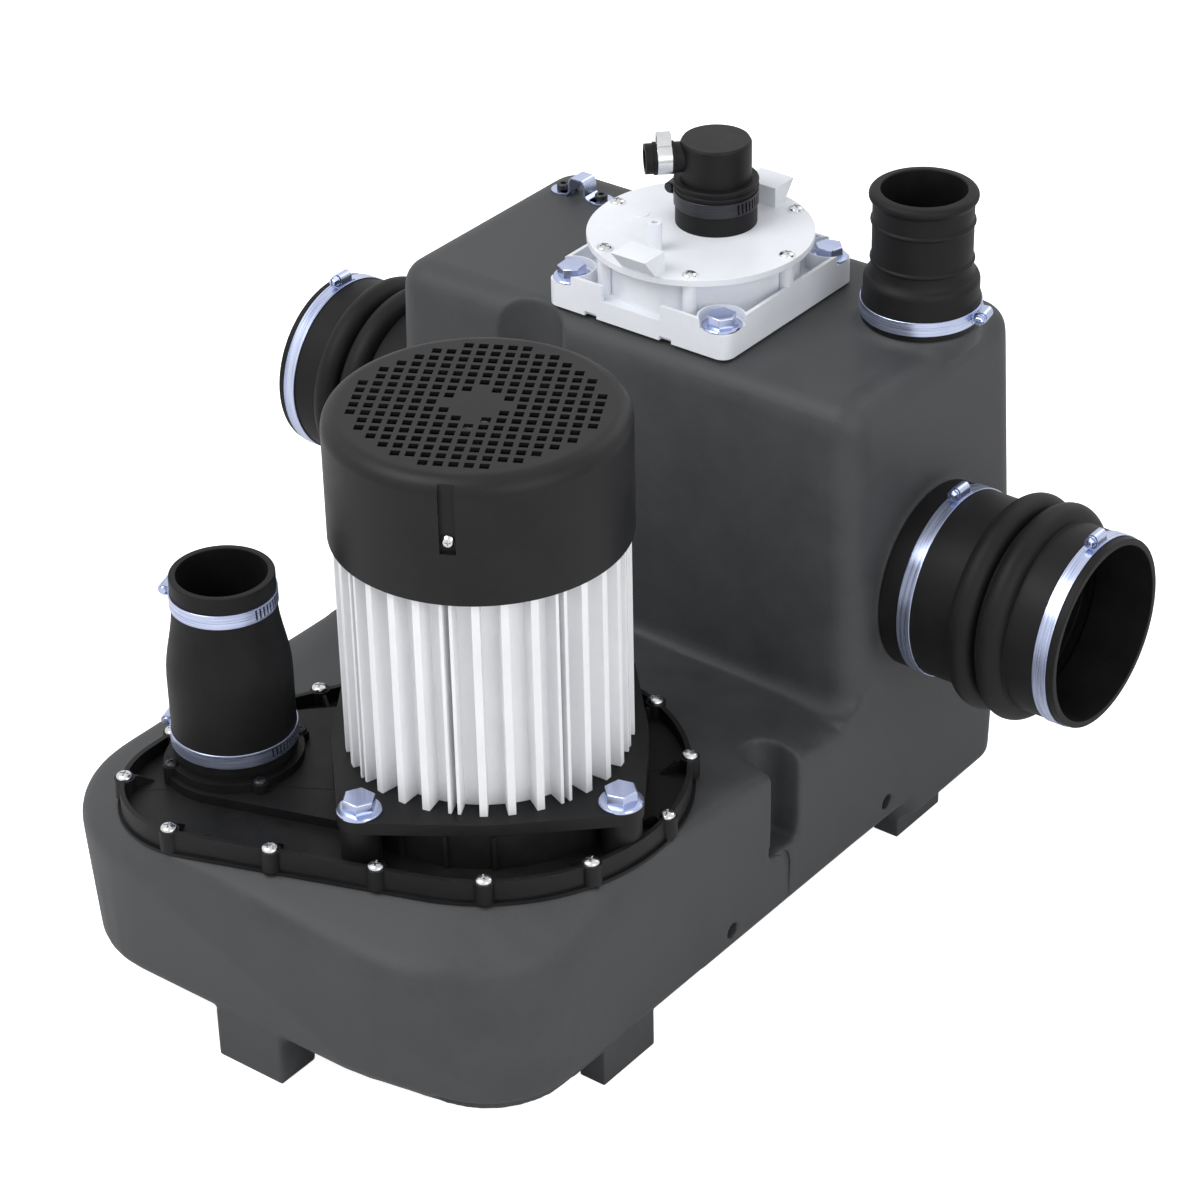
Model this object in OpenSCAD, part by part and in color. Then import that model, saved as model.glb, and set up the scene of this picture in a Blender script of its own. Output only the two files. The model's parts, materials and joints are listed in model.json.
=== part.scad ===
// Macerator toilet pump: a floor-standing collecting tank with a finned motor on its low nose,
// two 110 mm side inlets, one 50 mm top inlet, a 50 mm discharge and a vented level chamber.
// Millimetres, +Z up. The origin is on the floor, under the motor shaft. The nose points to -Y.

/* [Tank] */
// X of the left wall
tank_left = -234; // [-238:1:-230]
// X of the right wall
tank_right = 121; // [118:1:124]
// Y of the rear wall
tank_rear = 382; // [376:1:386]
// Y of the tall box's front wall
box_front = 196; // [190:1:200]
// Y of the low nose's front wall at its shoulder
nose_front = -156; // [-158:1:-153]
// How far the nose's front wall leans in towards its foot
nose_lean = 5; // [3:1:7]
// Radius of the nose's top edge
nose_edge_r = 11; // [9:1:14]
// Height of the tall box's top over the floor
box_top = 342; // [336:1:350]
// Height of the pump cover's seat on the nose over the floor
nose_top = 148; // [145:1:151]
// Height of the nose's shoulders over the floor
nose_rim = 131; // [128:1:134]
// Height of the nose's underside over the floor
belly_z = 29; // [24:1:34]
// Height of the rear sump's underside over the floor
sump_z = 14; // [10:1:18]
// Thickness of the tank wall
tank_wall = 6; // [5:0.5:7]
// Radius of the tank's top and bottom edges
edge_r = 18; // [12:1:20]
// Radius of the box's front upright corners
front_r = 19; // [18.5:0.5:24]
// Radius of the hollow blend between the nose and the box
fillet_r = 12; // [9:1:15]
// Radius of the rear upright corners
rear_r = 22; // [20:1:28]
// How far the nose's left wall stands in from the box's
nose_step = 14; // [10:1:18]
// Thickness of the nose's roof under the pump cover
nose_roof = 30; // [28:0.5:32]
// Radius of the nose's front left corner
nose_left_r = 80; // [76:1:84]
// Radius of the nose's front right corner
nose_right_r = 100; // [94:1:104]
// How far the walls lean in from their widest level
draft = 4; // [3:0.5:5]
// Length of a foot
foot_len = 50; // [44:1:56]
// Width of a side foot
foot_w = 18; // [14:1:22]
// Radius of a fixing hole low in the side walls
fix_r = 5; // [4:0.25:6]
// Depth of a fixing hole
fix_deep = 20; // [16:1:24]
// Radius of the pipe groove down the box's front wall
groove_r = 30; // [27:1:33]
// X of the pipe groove's axis
groove_x = -120; // [-123:1:-115]
// Radius of the round recess up each side of the nose
scoop_r = 14.5; // [12:0.5:16]

/* [Side inlets] */
// Y of the side inlets' axis
side_y = 279; // [274:1:284]
// Height of the side inlets' axis
side_z = 199; // [194:1:204]
// Bore radius of a side coupling
side_bore_r = 55; // [54:0.25:56]
// Rubber thickness of a side coupling
side_rubber = 4.2; // [3.5:0.1:5]
// Length of a side coupling past the tank wall
side_reach = 123; // [118:1:130]
// Height of a coupling fold over the sleeve
fold_rise = 9; // [6:0.5:11]
// Spacing of the two folds
fold_pitch = 20; // [18:0.5:22]

/* [Top inlet] */
// X of the top inlet's axis
top_x = 84; // [80:1:86]
// Y of the top inlet's axis
top_y = 317; // [312:1:322]
// Bore radius of the top inlet coupling
top_bore_r = 25.8; // [25.2:0.1:26.2]
// Height of the top inlet coupling
top_tall = 84; // [80:1:90]

/* [Discharge] */
// X of the discharge axis
out_x = -129; // [-131:1:-127]
// Y of the discharge axis
out_y = -77.5; // [-80:0.5:-75]
// Bore radius of the discharge coupling's upper end
out_bore_r = 26.3; // [25.6:0.1:26.6]
// Outer radius of the discharge coupling's lower end
out_low_r = 36.6; // [36:0.2:38]
// Height of the discharge coupling's mouth over the floor
out_top = 286; // [280:1:292]
// Radius of the non-return flap
flap_r = 21; // [20:0.25:21.5]

/* [Pump cover] */
// Radius of the cover's screw circle round the motor
screw_circle = 115.5; // [113:0.5:117]
// Number of cover screws on the screw circle
arc_screws = 8; // [7:1:9]
// Thickness of the cover gasket
gasket_t = 2; // [1.5:0.25:3]
// Thickness of the cover plate
cover_t = 4; // [3:0.5:5]
// Height of the cover's rim over its plate
rim_tall = 9; // [7:0.5:11]
// Radius of a screw boss on the cover
boss_r = 6; // [5:0.25:7]
// Radius of a cover screw's shank
screw_r = 2.5; // [2:0.25:3]

/* [Motor] */
// Height of the motor's seat over the floor
seat_z = 184; // [182:1:188]
// Radius over the cooling fins
fin_r = 83.8; // [82:0.2:85]
// Radius of the motor barrel between the fins
barrel_r = 72; // [70:0.5:75]
// Height of the fins
fin_tall = 146; // [140:1:150]
// Thickness of a fin
fin_t = 4.6; // [3.5:0.1:5.5]
// Wall of the fan cover
cowl_wall = 2.3; // [2:0.1:3]
// How far the fan cover reaches down over the fins
cowl_lap = 6; // [4:1:12]
// Height of the fan cover
cowl_tall = 77; // [74:1:82]
// Radius of the motor bolts' circle
bolt_circle = 104; // [102:0.5:106]
// Turn of the motor bolts from the X axis, in degrees
bolt_turn = -6; // [-10:1:-2]
// Side of a grille hole
grille_hole = 5.4; // [4.6:0.2:5.8]
// Pitch of the grille holes
grille_pitch = 8.4; // [7.8:0.1:9]
// Radius of the motor shaft
shaft_r = 10; // [9:0.5:11]
// Running clearance round the shaft
run_gap = 0.05; // [0.03:0.01:0.1]

/* [Level chamber] */
// X of the level chamber's centre
level_x = -47; // [-50:1:-44]
// Y of the level chamber's centre
level_y = 273; // [271:1:275]
// Side of the white base
base_side = 135; // [132:1:138]
// Height of the white base's wall
base_tall = 23; // [21:1:28]
// Radius of the white lid
lid_r = 69.5; // [67:0.5:71]
// Height of the lid's top over the tank top
lid_rise = 43; // [41:1:46]
// Radius of the lid's screw circle
lid_circle = 63.5; // [62:0.5:65]
// Half spacing of the four base bolts
base_bolt_half = 56; // [54:0.5:57]

/* [Vent] */
// Y offset of the vent from the level chamber's centre
vent_shift = 16; // [13:1:18]
// Radius of the vent cap
cap_r = 21.7; // [20:0.1:23]
// Height of the vent cap's top over the lid
cap_tall = 54; // [50:1:58]
// Length of the side nozzle from the vent's axis
nozzle_reach = 43.5; // [40:0.5:46]
// Turn of the side nozzle from the X axis, in degrees
nozzle_turn = -136; // [-142:1:-130]

/* [Hose clamps] */
// Width of a clamp band
band_w = 9; // [8:0.5:10]
// Thickness of a clamp band
band_t = 0.8; // [0.6:0.1:1]
// Radius of a clamp's worm screw
worm_r = 2.4; // [2.2:0.1:2.8]

/* [Fits] */
// Clearance between seated pieces
fit = 0.1; // [0.05:0.01:0.2]
// Clearance round a screw's shank
shank_gap = 0.05; // [0.03:0.01:0.1]

/* [Hidden] */
$fn = 48;
eps = 0.01;
box_mid_x = (tank_left + tank_right) / 2;
belt_z = side_z;
nose_left = tank_left + nose_step;
nose_right = tank_right - 1;
blend_z = nose_rim + 5;
nose_back = tank_rear - 24;
scoop_y = 128.5;
scoop_z = 77;
fix_z = 46;
fix_shift = 14;
fix_back = 26;
collar_rise = 5;
belly_edge_r = 8;
left_rise = 10;
foot_r = 57;
foot_left_r = 62;
top_low_r = 36;
top_neck_r = 30.4;
top_foot_z = box_top + collar_rise + 0.3;
hub_r = 92;
plate_low = seat_z - 8;
column_r = 11.8;
motor_bolt_r = 5;
seal_r = 19.9;
out_turn = atan2(out_y, out_x);
out_gap = norm([out_x, out_y]);
flange_r = 40;
flange_t = 5.5;
flange_screw_r = 2;
out_hole_r = 19;
out_neck_r = 30.6;
duct_w = 46;
eye_r = 32;
cutter_t = 6;
bearing_r = 23.5;
bearing_t = 14;
upper_bearing_r = 17.5;
upper_shaft_r = 7.5;
shield_z = seat_z + fin_tall - 8;
stud_r = 2.5;
cowl_round = 10.4;
cowl_screw_z = 39;
grille_turn = 28.5;
grille_in_r = 70;
grille_n = 9;
sleeve_len = side_reach - 1;
fold_start = 59;
level_hole_r = 50;
level_gap = 1.5;
base_z = box_top + level_gap;
drum_r = 60.4;
lid_post_r = 4.2;
pocket_r = 12.6;
pocket_z = 16;
base_floor = 12;
base_bolt_r = 4.5;
lid_screw_r = 2.2;
tube_r = 22;
tube_shift = -24;
tube_low = 60;
bracket_bolt_r = 3;
bracket_t = 1.5;
block_rise = 13;
nozzle_bore_r = 6.5;
nozzle_pipe_r = 5.9;
nozzle_in = 28.5;
hose_r = 9.4;
cover_z = nose_top + gasket_t;
plate_z = cover_z + cover_t;
rim_z = plate_z + rim_tall;
drum_z = plate_z + 6.5;
arc_step = 31;
arc_start = -53.2;
lobe_c = [-118, -105];
lobe_r = 56;
lobe_back = [-119, -86];
lobe_back_r = 55;
volute_r = 72;
volute_tall = 48;
volute_z = cover_z - volute_tall;
volute_wall = 4;
impeller_r = 52;
motor_bore_r = barrel_r - 8;
stator_r = motor_bore_r - fit;
stator_in_r = 38;
rotor_r = 37.6;
stator_z = seat_z + 34;
stator_tall = fin_tall - 68;
cowl_r = fin_r + cowl_wall + 0.3;
cowl_z = seat_z + fin_tall - cowl_lap;
cowl_top = cowl_z + cowl_tall;
shaft_low = volute_z - 14;
shaft_top = cowl_top - 14;
fan_z = shield_z + 18;
side_out_r = side_bore_r + side_rubber;
side_seat_r = side_bore_r - fit;
spigot_wall = 5;
spigot_len = 48;
band_gap = 0.05;
lid_top = box_top + lid_rise;
lid_t = 4;
vent_y = level_y + vent_shift;
vent_z = lid_top + cap_tall;
sleeve_r = cap_r + 3.4;
sleeve_tall = 29;
nozzle_z = vent_z - 10.5;
spigot_top = drum_z + 35;
spigot_out_r = out_low_r - side_rubber - fit;
spigot_in_r = 27.5;
flap_z = drum_z + 8;
pin_z = flap_z + 3;
pin_half = 22;
flap_t = 4;
flap_pin_y = out_y + flap_r - 1;
flap_pin_r = 1.5;
seam_turn = -20;
out_foot_z = drum_z + flange_t + 2.6;
stud_circle = (motor_bore_r + barrel_r) / 2;

// Colours
function dark() = "#4a4b4d";
function black() = "#262628";
function zinc() = "#b4bccc";
function steel() = "#c8cacc";
function white() = "#eef0f8";

// Shared shapes
// A pipe standing on z = 0
module pipe(r_out, r_in, h) {
    difference() {
        cylinder(r = r_out, h = h);
        translate([0, 0, -1]) cylinder(r = r_in, h = h + 2);
    }
}

// A plate outline with rounded corners, made of squares and circles
module round_square(x0, y0, x1, y1, r) {
    translate([x0 + r, y0]) square([x1 - x0 - 2 * r, y1 - y0]);
    translate([x0, y0 + r]) square([x1 - x0, y1 - y0 - 2 * r]);
    for (x = [x0 + r, x1 - r], y = [y0 + r, y1 - r]) translate([x, y]) circle(r);
}

// A flat ring with a round outer edge, used to blend an upright corner into a face
module corner(x, y, z, r, edge) {
    translate([x, y, z]) rotate_extrude($fn = 32) intersection() {
        translate([r - edge, 0]) circle(edge, $fn = 24);
        translate([0, -edge]) square([r, 2 * edge]);
    }
}

// A pan-head screw, its head's underside at z = 0 and its shank below
module pan_screw(r, long) {
    translate([0, 0, -long]) cylinder(r = r, h = long + eps);
    difference() {
        union() {
            cylinder(r = 1.9 * r, h = 0.6 * r);
            translate([0, 0, 0.6 * r]) cylinder(r1 = 1.9 * r, r2 = 1.3 * r, h = 0.6 * r, $fn = 24);
        }
        for (a = [0, 90]) rotate(a) translate([-0.9 * r, -0.2 * r, 0.55 * r]) cube([1.8 * r, 0.4 * r, r]);
    }
}

// A hexagon flange bolt, its flange's underside at z = 0 and its shank below
module flange_bolt(r, long) {
    translate([0, 0, -long]) cylinder(r = r, h = long + eps);
    cylinder(r = 2.6 * r, h = 0.35 * r);
    translate([0, 0, 0.35 * r]) cylinder(r = 1.95 * r, h = 1.5 * r, $fn = 6);
}

// A worm-drive clamp band round the Z axis, with its screw housing at +X
module clamp_band(r) {
    difference() {
        union() {
            pipe(r + band_gap + band_t, r + band_gap, band_w);
            translate([r + band_gap + band_t / 2, -worm_r - 2.5, 0.4])
                cube([2 * worm_r + 2.2, 2 * worm_r + 5, band_w - 0.8]);
        }
        translate([r + band_t + 1.3 + worm_r, 0, band_w / 2]) rotate([90, 0, 0])
            cylinder(r = worm_r + shank_gap, h = 4 * worm_r + 20, center = true);
    }
}

// The worm screw of a clamp of radius r, in the same place as its housing
module clamp_worm(r) {
    translate([r + band_t + 1.3 + worm_r, 0, band_w / 2]) rotate([90, 0, 0]) {
        translate([0, 0, -worm_r - 4]) cylinder(r = worm_r, h = 2 * worm_r + 8);
        difference() {
            translate([0, 0, worm_r + 4]) cylinder(r = worm_r + 0.6, h = 4.5, $fn = 6);
            translate([-worm_r, -0.5, worm_r + 6.5]) cube([2 * worm_r, 1, 3]);
        }
    }
}

// Placing of the clamps
module at_right(x) {
    translate([x, side_y, side_z]) rotate([0, 90, 0]) rotate(180) mirror([0, 1, 0]) children();
}
module at_left(x) {
    translate([x, side_y, side_z]) rotate([0, 90, 0]) rotate(180) mirror([0, 1, 0]) translate([0, 0, -band_w]) children();
}
module at_out(z) {
    translate([out_x, out_y, z]) rotate(-161) children();
}
module at_top(z) {
    translate([top_x, top_y, z]) rotate(12) children();
}
module at_vent(z) {
    translate([level_x, vent_y, z]) rotate(-173) children();
}

// Outline of the pump cover, grown by g
module cover_outline(g) {
    hull() {
        circle(screw_circle + g, $fn = 96);
        translate(lobe_c) circle(lobe_r + g, $fn = 64);
        translate(lobe_back) circle(lobe_back_r + g, $fn = 64);
    }
}

// Places of the cover screws
function cover_places() = concat(
    [for (i = [0 : arc_screws - 1]) screw_circle * [cos(arc_start + arc_step * i), sin(arc_start + arc_step * i)]],
    [[12, -117.5], [-47.5, -139.5], [-107.5, -158.5], [-164, -135.5], [-173.7, -84], [-156.8, -42.4]],
    [[-133.7, 2]]);

// Round flange of the discharge with an ear at each screw
module flange_form(h) {
    translate([out_x, out_y, 0]) cylinder(r = flange_r, h = h);
    for (p = flange_places()) translate([p[0], p[1], 0]) cylinder(r = 5, h = h);
}

// Places of the four motor bolts
function bolt_places() = [for (i = [0 : 3]) bolt_circle * [cos(bolt_turn + 90 * i), sin(bolt_turn + 90 * i)]];

// Places of the motor's tie studs, the flange screws, the volute screws and the fan cover's screws
function stud_places() = [for (a = [45 : 90 : 315]) stud_circle * [cos(seam_turn + a), sin(seam_turn + a)]];
function flange_places() = [for (a = [62 : 90 : 332]) [out_x, out_y] + flange_r * [cos(a), sin(a)]];
function volute_places() = [for (a = [0 : 60 : 300]) (volute_r + 5.5) * [cos(a), sin(a)]];
function cowl_screw_turns() = [-62.3, 57.7, 177.7];

// Places of the level base's bolts, the bracket's nuts and the fixing holes
function base_bolt_places() = [for (x = [-1, 1], y = [-1, 1]) [level_x + x * base_bolt_half, level_y + y * base_bolt_half]];
function bracket_places() = [[tank_left + 29, tank_rear - 43], [tank_left + 59, tank_rear - 42]];
function fix_places() = [78, 243.3];
function left_fix_places() = [fix_places()[0] + fix_shift, box_front - fix_back];

// The tall box: widest at the side inlets, leaning in above and below them
module box_form() {
    hull() {
        for (x = [tank_left + rear_r, tank_right - rear_r]) {
            translate([x, tank_rear - rear_r, belt_z]) cylinder(r = rear_r, h = 1, $fn = 32);
            corner(x - draft * sign(x - box_mid_x), tank_rear - rear_r - draft, box_top - edge_r, rear_r, edge_r);
            corner(x - draft * sign(x - box_mid_x), tank_rear - rear_r - draft, sump_z + belly_edge_r, rear_r, belly_edge_r);
        }
        for (x = [tank_left + front_r, tank_right - front_r]) {
            translate([x, box_front + front_r, blend_z + fillet_r]) cylinder(r = front_r, h = belt_z - blend_z - fillet_r, $fn = 32);
            corner(x - draft * sign(x - box_mid_x), box_front + front_r, box_top - edge_r, front_r, edge_r);
            corner(x - draft * sign(x - box_mid_x), box_front + front_r + 68, sump_z + belly_edge_r, front_r, belly_edge_r);
        }
    }
}

// The low nose with the pump cover's seat on it, run back under the tall box
module nose_form() {
    foot_y = nose_front + nose_lean;
    tops = [
        [nose_left + nose_left_r, nose_front - left_rise + nose_left_r, nose_left_r, left_rise],
        [nose_right - nose_right_r, nose_front + nose_right_r, nose_right_r, 0],
        [nose_left + front_r, box_front + 30, front_r, left_rise / 2],
        [nose_right - front_r, box_front + 30, front_r, 0]];
    bottoms = [
        [nose_left + foot_left_r + 2, foot_y + foot_left_r, foot_left_r, edge_r],
        [5, foot_y + 95, 95, edge_r],
        [nose_right - 3 - foot_r, foot_y + foot_r + 13, foot_r, belly_edge_r + 4],
        [nose_left + 2 + front_r, nose_back - front_r, front_r, edge_r],
        [nose_right - 3 - front_r, nose_back - front_r, front_r, belly_edge_r]];
    hull() {
        for (k = tops) corner(k[0], k[1], nose_rim + k[3] - nose_edge_r, k[2], nose_edge_r);
        for (k = bottoms) corner(k[0], k[1], belly_z + k[3], k[2], k[3]);
        translate([0, 0, nose_top - 2]) linear_extrude(2) cover_outline(3.5);
    }
}

// Hollow blend between the nose and the box, swept round the box's front right corner
module blend_form() {
    low = nose_rim - nose_edge_r;
    intersection() {
        union() {
            translate([nose_left + 10, 0, 0]) rotate([90, 0, 90]) linear_extrude(tank_right - front_r - nose_left - 10) difference() {
                translate([box_front - fillet_r, low]) square([fillet_r + 5, blend_z + fillet_r - low]);
                translate([box_front - fillet_r, blend_z + fillet_r]) circle(fillet_r);
            }
            translate([tank_right - front_r, box_front + front_r, low]) rotate_extrude($fn = 96) difference() {
                square([front_r + fillet_r, blend_z + fillet_r - low]);
                translate([front_r + fillet_r, blend_z + fillet_r - low]) circle(fillet_r);
            }
        }
        linear_extrude(box_top) round_square(nose_left, 0, nose_right, nose_back, front_r);
    }
}

// Hollow of the tank
module tank_hollow() {
    inset = tank_wall + draft + 2;
    difference() {
        union() {
            translate([0, 0, belly_z + tank_wall]) linear_extrude(nose_top - nose_roof - belly_z - tank_wall)
                round_square(nose_left + inset, nose_front + nose_lean + inset, nose_right - inset, tank_rear - inset, 60);
            translate([0, 0, belly_z + tank_wall + 10]) linear_extrude(box_top - belly_z - 2 * tank_wall - 10)
                round_square(tank_left + inset, box_front + inset, tank_right - inset, tank_rear - inset, 30);
        }
        scoops(tank_wall);
        for (y = fix_places()) translate([nose_right - fix_deep - tank_wall, y, fix_z])
            rotate([0, 90, 0]) cylinder(r = fix_r + tank_wall, h = fix_deep + 2 * tank_wall);
        for (y = left_fix_places()) translate([nose_left - tank_wall, y, fix_z])
            rotate([0, 90, 0]) cylinder(r = fix_r + tank_wall, h = fix_deep + 2 * tank_wall);
        translate([groove_x, box_front - 16.5, nose_top - nose_roof - 1]) cylinder(r = groove_r + tank_wall, h = box_top);
    }
}

// Round-ended recesses up both sides of the nose, grown by g
module scoops(g) {
    for (k = [1, -1]) translate([k > 0 ? nose_right : nose_left, scoop_y, scoop_z - g]) linear_extrude(box_top) {
        translate([-15.5 * k, 0]) circle(scoop_r + g);
        translate([k > 0 ? -15.5 : -14.5, -scoop_r - g]) square([30, 2 * (scoop_r + g)]);
    }
}

module tank() {
    color(dark()) difference() {
        union() {
            box_form();
            nose_form();
            blend_form();
            for (x = [nose_right - foot_w - 12, nose_left + 9], y = [-38, tank_rear - 112])
                translate([x, y, 0]) cube([foot_w, foot_len, belly_z + edge_r]);
            translate([-94, nose_front + nose_lean + 3, 0]) cube([foot_len, foot_w + 12, belly_z + edge_r]);
            for (k = [1, -1]) translate([k > 0 ? tank_right : tank_left, side_y, side_z]) rotate([0, 90 * k, 0]) {
                translate([0, 0, -12]) cylinder(r = side_out_r - 1.2, h = 12.7);
                translate([0, 0, -12]) cylinder(r = side_seat_r, h = 12 + spigot_len);
            }
            translate([top_x, top_y, box_top - 8]) {
                cylinder(r = top_low_r + 1, h = 8 + collar_rise);
                cylinder(r = top_low_r - side_rubber - fit, h = 34);
            }
        }
        tank_hollow();
        for (k = [1, -1]) translate([k > 0 ? tank_right : tank_left, side_y, side_z]) rotate([0, 90 * k, 0])
            translate([0, 0, -30]) cylinder(r = side_seat_r - spigot_wall, h = 90);
        translate([top_x, top_y, box_top - 20]) cylinder(r = top_low_r - side_rubber - spigot_wall, h = 70);
        translate([level_x, level_y, box_top - 20]) cylinder(r = level_hole_r, h = 40);
        translate([0, 0, nose_top - nose_roof - 2]) linear_extrude(nose_roof + 20) cover_outline(-14);
        for (p = cover_places()) translate([p[0], p[1], nose_top - 12]) cylinder(r = screw_r + shank_gap, h = 20);
        for (p = base_bolt_places()) translate([p[0], p[1], box_top - 14]) cylinder(r = base_bolt_r + shank_gap, h = 20);
        for (p = bracket_places()) translate([p[0], p[1], box_top - 14]) cylinder(r = bracket_bolt_r + shank_gap, h = 20);
        for (y = fix_places()) translate([nose_right - fix_deep, y, fix_z])
            rotate([0, 90, 0]) cylinder(r = fix_r, h = fix_deep + 5);
        for (y = left_fix_places()) translate([nose_left - 5, y, fix_z])
            rotate([0, 90, 0]) cylinder(r = fix_r, h = fix_deep + 5);
        translate([groove_x, box_front - 16.5, blend_z + fillet_r + 6]) cylinder(r = groove_r, h = 250);
        scoops(0);
        for (x = [nose_right - 3.5, nose_left - 4.5]) translate([x, 0, 0]) rotate([90, 0, 90]) linear_extrude(8)
            polygon([[115, 85], [127, 79], [134, 72], [136.5, 64], [136.5, 0], [131.5, 0], [131.5, 63], [126, 73], [115, 80]]);
    }
}

module cover_gasket() {
    color(black()) translate([0, 0, nose_top]) difference() {
        linear_extrude(gasket_t) difference() {
            cover_outline(3.5);
            cover_outline(-12);
        }
        for (p = cover_places()) translate([p[0], p[1], -1]) cylinder(r = screw_r + shank_gap, h = gasket_t + 2);
    }
}

module pump_cover() {
    color(black()) difference() {
        union() {
            translate([0, 0, cover_z]) linear_extrude(cover_t) cover_outline(1.5);
            translate([0, 0, plate_z]) linear_extrude(rim_tall) difference() {
                cover_outline(1.5);
                cover_outline(-1.5);
            }
            for (p = cover_places()) {
                translate([p[0], p[1], cover_z]) cylinder(r = boss_r, h = rim_z - cover_z);
                rib_start = max(hub_r - 2, norm(p) - 24);
                rotate(atan2(p[1], p[0])) translate([rib_start, -1.2, plate_z])
                    cube([norm(p) - rib_start - 2, 2.4, rim_tall - 2]);
            }
            translate([0, 0, plate_z - 1]) cylinder(r = hub_r, h = plate_low - plate_z + 1, $fn = 96);
            for (p = bolt_places()) translate([p[0], p[1], plate_z - 1])
                cylinder(r = column_r, h = plate_low - plate_z + 1);
            translate([0, 0, plate_z - 1]) flange_form(drum_z - plate_z + 1);
            rotate(out_turn) translate([0, -30, plate_z - 1]) cube([out_gap, 60, drum_z - plate_z + 1]);
        }
        translate([0, 0, plate_z + 12]) cylinder(r = hub_r - 4, h = 40, $fn = 96);
        translate([0, 0, plate_z]) difference() {
            cylinder(r = hub_r - 4, h = 13, $fn = 96);
            translate([0, 0, -1]) cylinder(r = seal_r + 6, h = 15);
        }
        translate([0, 0, cover_z - 1]) cylinder(r = seal_r, h = 40);
        translate([out_x, out_y, cover_z - 1]) cylinder(r = out_hole_r, h = 30);
        translate([out_x, out_y, drum_z]) cylinder(r = flange_r + 0.4, h = rim_tall);
        for (p = flange_places()) translate([p[0], p[1], drum_z]) cylinder(r = 5.4, h = rim_tall);
        for (p = cover_places()) translate([p[0], p[1], cover_z - 1]) cylinder(r = screw_r + shank_gap, h = 30);
        for (p = bolt_places()) translate([p[0], p[1], plate_z + 1]) cylinder(r = motor_bolt_r + shank_gap, h = 30);
        for (p = flange_places()) translate([p[0], p[1], plate_z - 2]) cylinder(r = flange_screw_r + shank_gap, h = 30);
        for (p = volute_places()) translate([p[0], p[1], cover_z - 1]) cylinder(r = screw_r + shank_gap, h = cover_t + 0.5);
    }
}

module cover_screws() {
    color(steel()) for (p = cover_places()) translate([p[0], p[1], rim_z]) pan_screw(screw_r, 24);
}

// Spiral pump casing hung under the cover, with its duct to the discharge
module volute() {
    color(black()) difference() {
        union() {
            translate([0, 0, volute_z]) cylinder(r = volute_r, h = volute_tall, $fn = 96);
            for (p = volute_places()) translate([p[0], p[1], volute_z + 20]) cylinder(r = 7, h = volute_tall - 20);
            rotate(out_turn) translate([0, -duct_w / 2, volute_z + 8]) cube([out_gap, duct_w, volute_tall - 9]);
            translate([out_x, out_y, volute_z + 9]) cylinder(r = duct_w / 2 + 1, h = volute_tall - 9);
        }
        translate([0, 0, volute_z + volute_wall]) cylinder(r = volute_r - volute_wall, h = volute_tall, $fn = 96);
        translate([0, 0, volute_z - 1]) cylinder(r = eye_r, h = 20);
        rotate(out_turn) translate([0, 6 - duct_w / 2, volute_z + 13]) cube([out_gap, duct_w - 12, volute_tall - 18]);
        translate([out_x, out_y, volute_z + 12]) cylinder(r = out_hole_r - 1.5, h = volute_tall);
        for (p = volute_places()) translate([p[0], p[1], volute_z]) cylinder(r = screw_r + shank_gap, h = 60);
    }
}

module volute_screws() {
    color(steel()) for (p = volute_places()) translate([p[0], p[1], volute_z + 20])
        rotate([180, 0, 0]) pan_screw(screw_r, volute_tall - 20 + 3);
}

// Fixed cutting ring under the pump's eye
module cutter_plate() {
    color(steel()) translate([0, 0, volute_z - cutter_t]) difference() {
        cylinder(r = eye_r + 8, h = cutter_t);
        translate([0, 0, -1]) cylinder(r = shaft_r + 3, h = cutter_t + 2);
        for (a = [0 : 30 : 330]) rotate(a) translate([eye_r - 9, 0, -1]) cylinder(r = 5, h = cutter_t + 2);
    }
}

module motor_plate() {
    color(black()) difference() {
        union() {
            translate([0, 0, plate_low]) linear_extrude(seat_z - plate_low) hull() {
                for (p = bolt_places()) translate(p) circle(column_r + 1);
                circle(hub_r, $fn = 96);
            }
            translate([0, 0, plate_low]) cylinder(r = bearing_r + 6, h = seat_z - plate_low + bearing_t + 2);
        }
        translate([0, 0, plate_low - 1]) cylinder(r = shaft_r + 2, h = 60);
        translate([0, 0, seat_z + 2]) cylinder(r = bearing_r, h = 60);
        for (p = bolt_places()) translate([p[0], p[1], plate_low - 1]) cylinder(r = motor_bolt_r + shank_gap, h = 40);
        for (p = stud_places()) translate([p[0], p[1], plate_low + 2]) cylinder(r = stud_r + shank_gap, h = 40);
    }
}

module motor_bolts() {
    color(zinc()) for (p = bolt_places()) translate([p[0], p[1], seat_z]) flange_bolt(motor_bolt_r, 26);
}

// One quarter of the motor's fins: a double rail, six fins and a seam with its lips
module fin_quarter() {
    for (a = [-34, -22.5, -11.5, 11.5, 22.5, 34]) rotate(a)
        translate([barrel_r - 1, -fin_t / 2, 0]) cube([fin_r - barrel_r + 1, fin_t, fin_tall]);
    for (a = [-1.9, 1.9]) rotate(a) translate([barrel_r - 1, -1, 0]) cube([fin_r - barrel_r, 2, fin_tall]);
    for (a = [43.2, 46.8]) rotate(a) translate([barrel_r - 1, -1, 0]) cube([fin_r - barrel_r + 1, 2, fin_tall]);
}

module motor_housing() {
    color(steel()) translate([0, 0, seat_z]) difference() {
        union() {
            cylinder(r = barrel_r, h = fin_tall - 8, $fn = 96);
            for (i = [0 : 3]) rotate(seam_turn + 45 + 90 * i) fin_quarter();
        }
        translate([0, 0, -1]) cylinder(r = motor_bore_r, h = fin_tall + 2, $fn = 96);
        for (p = stud_places()) translate([p[0], p[1], -1]) cylinder(r = stud_r + shank_gap, h = fin_tall + 2);
    }
}

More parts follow.
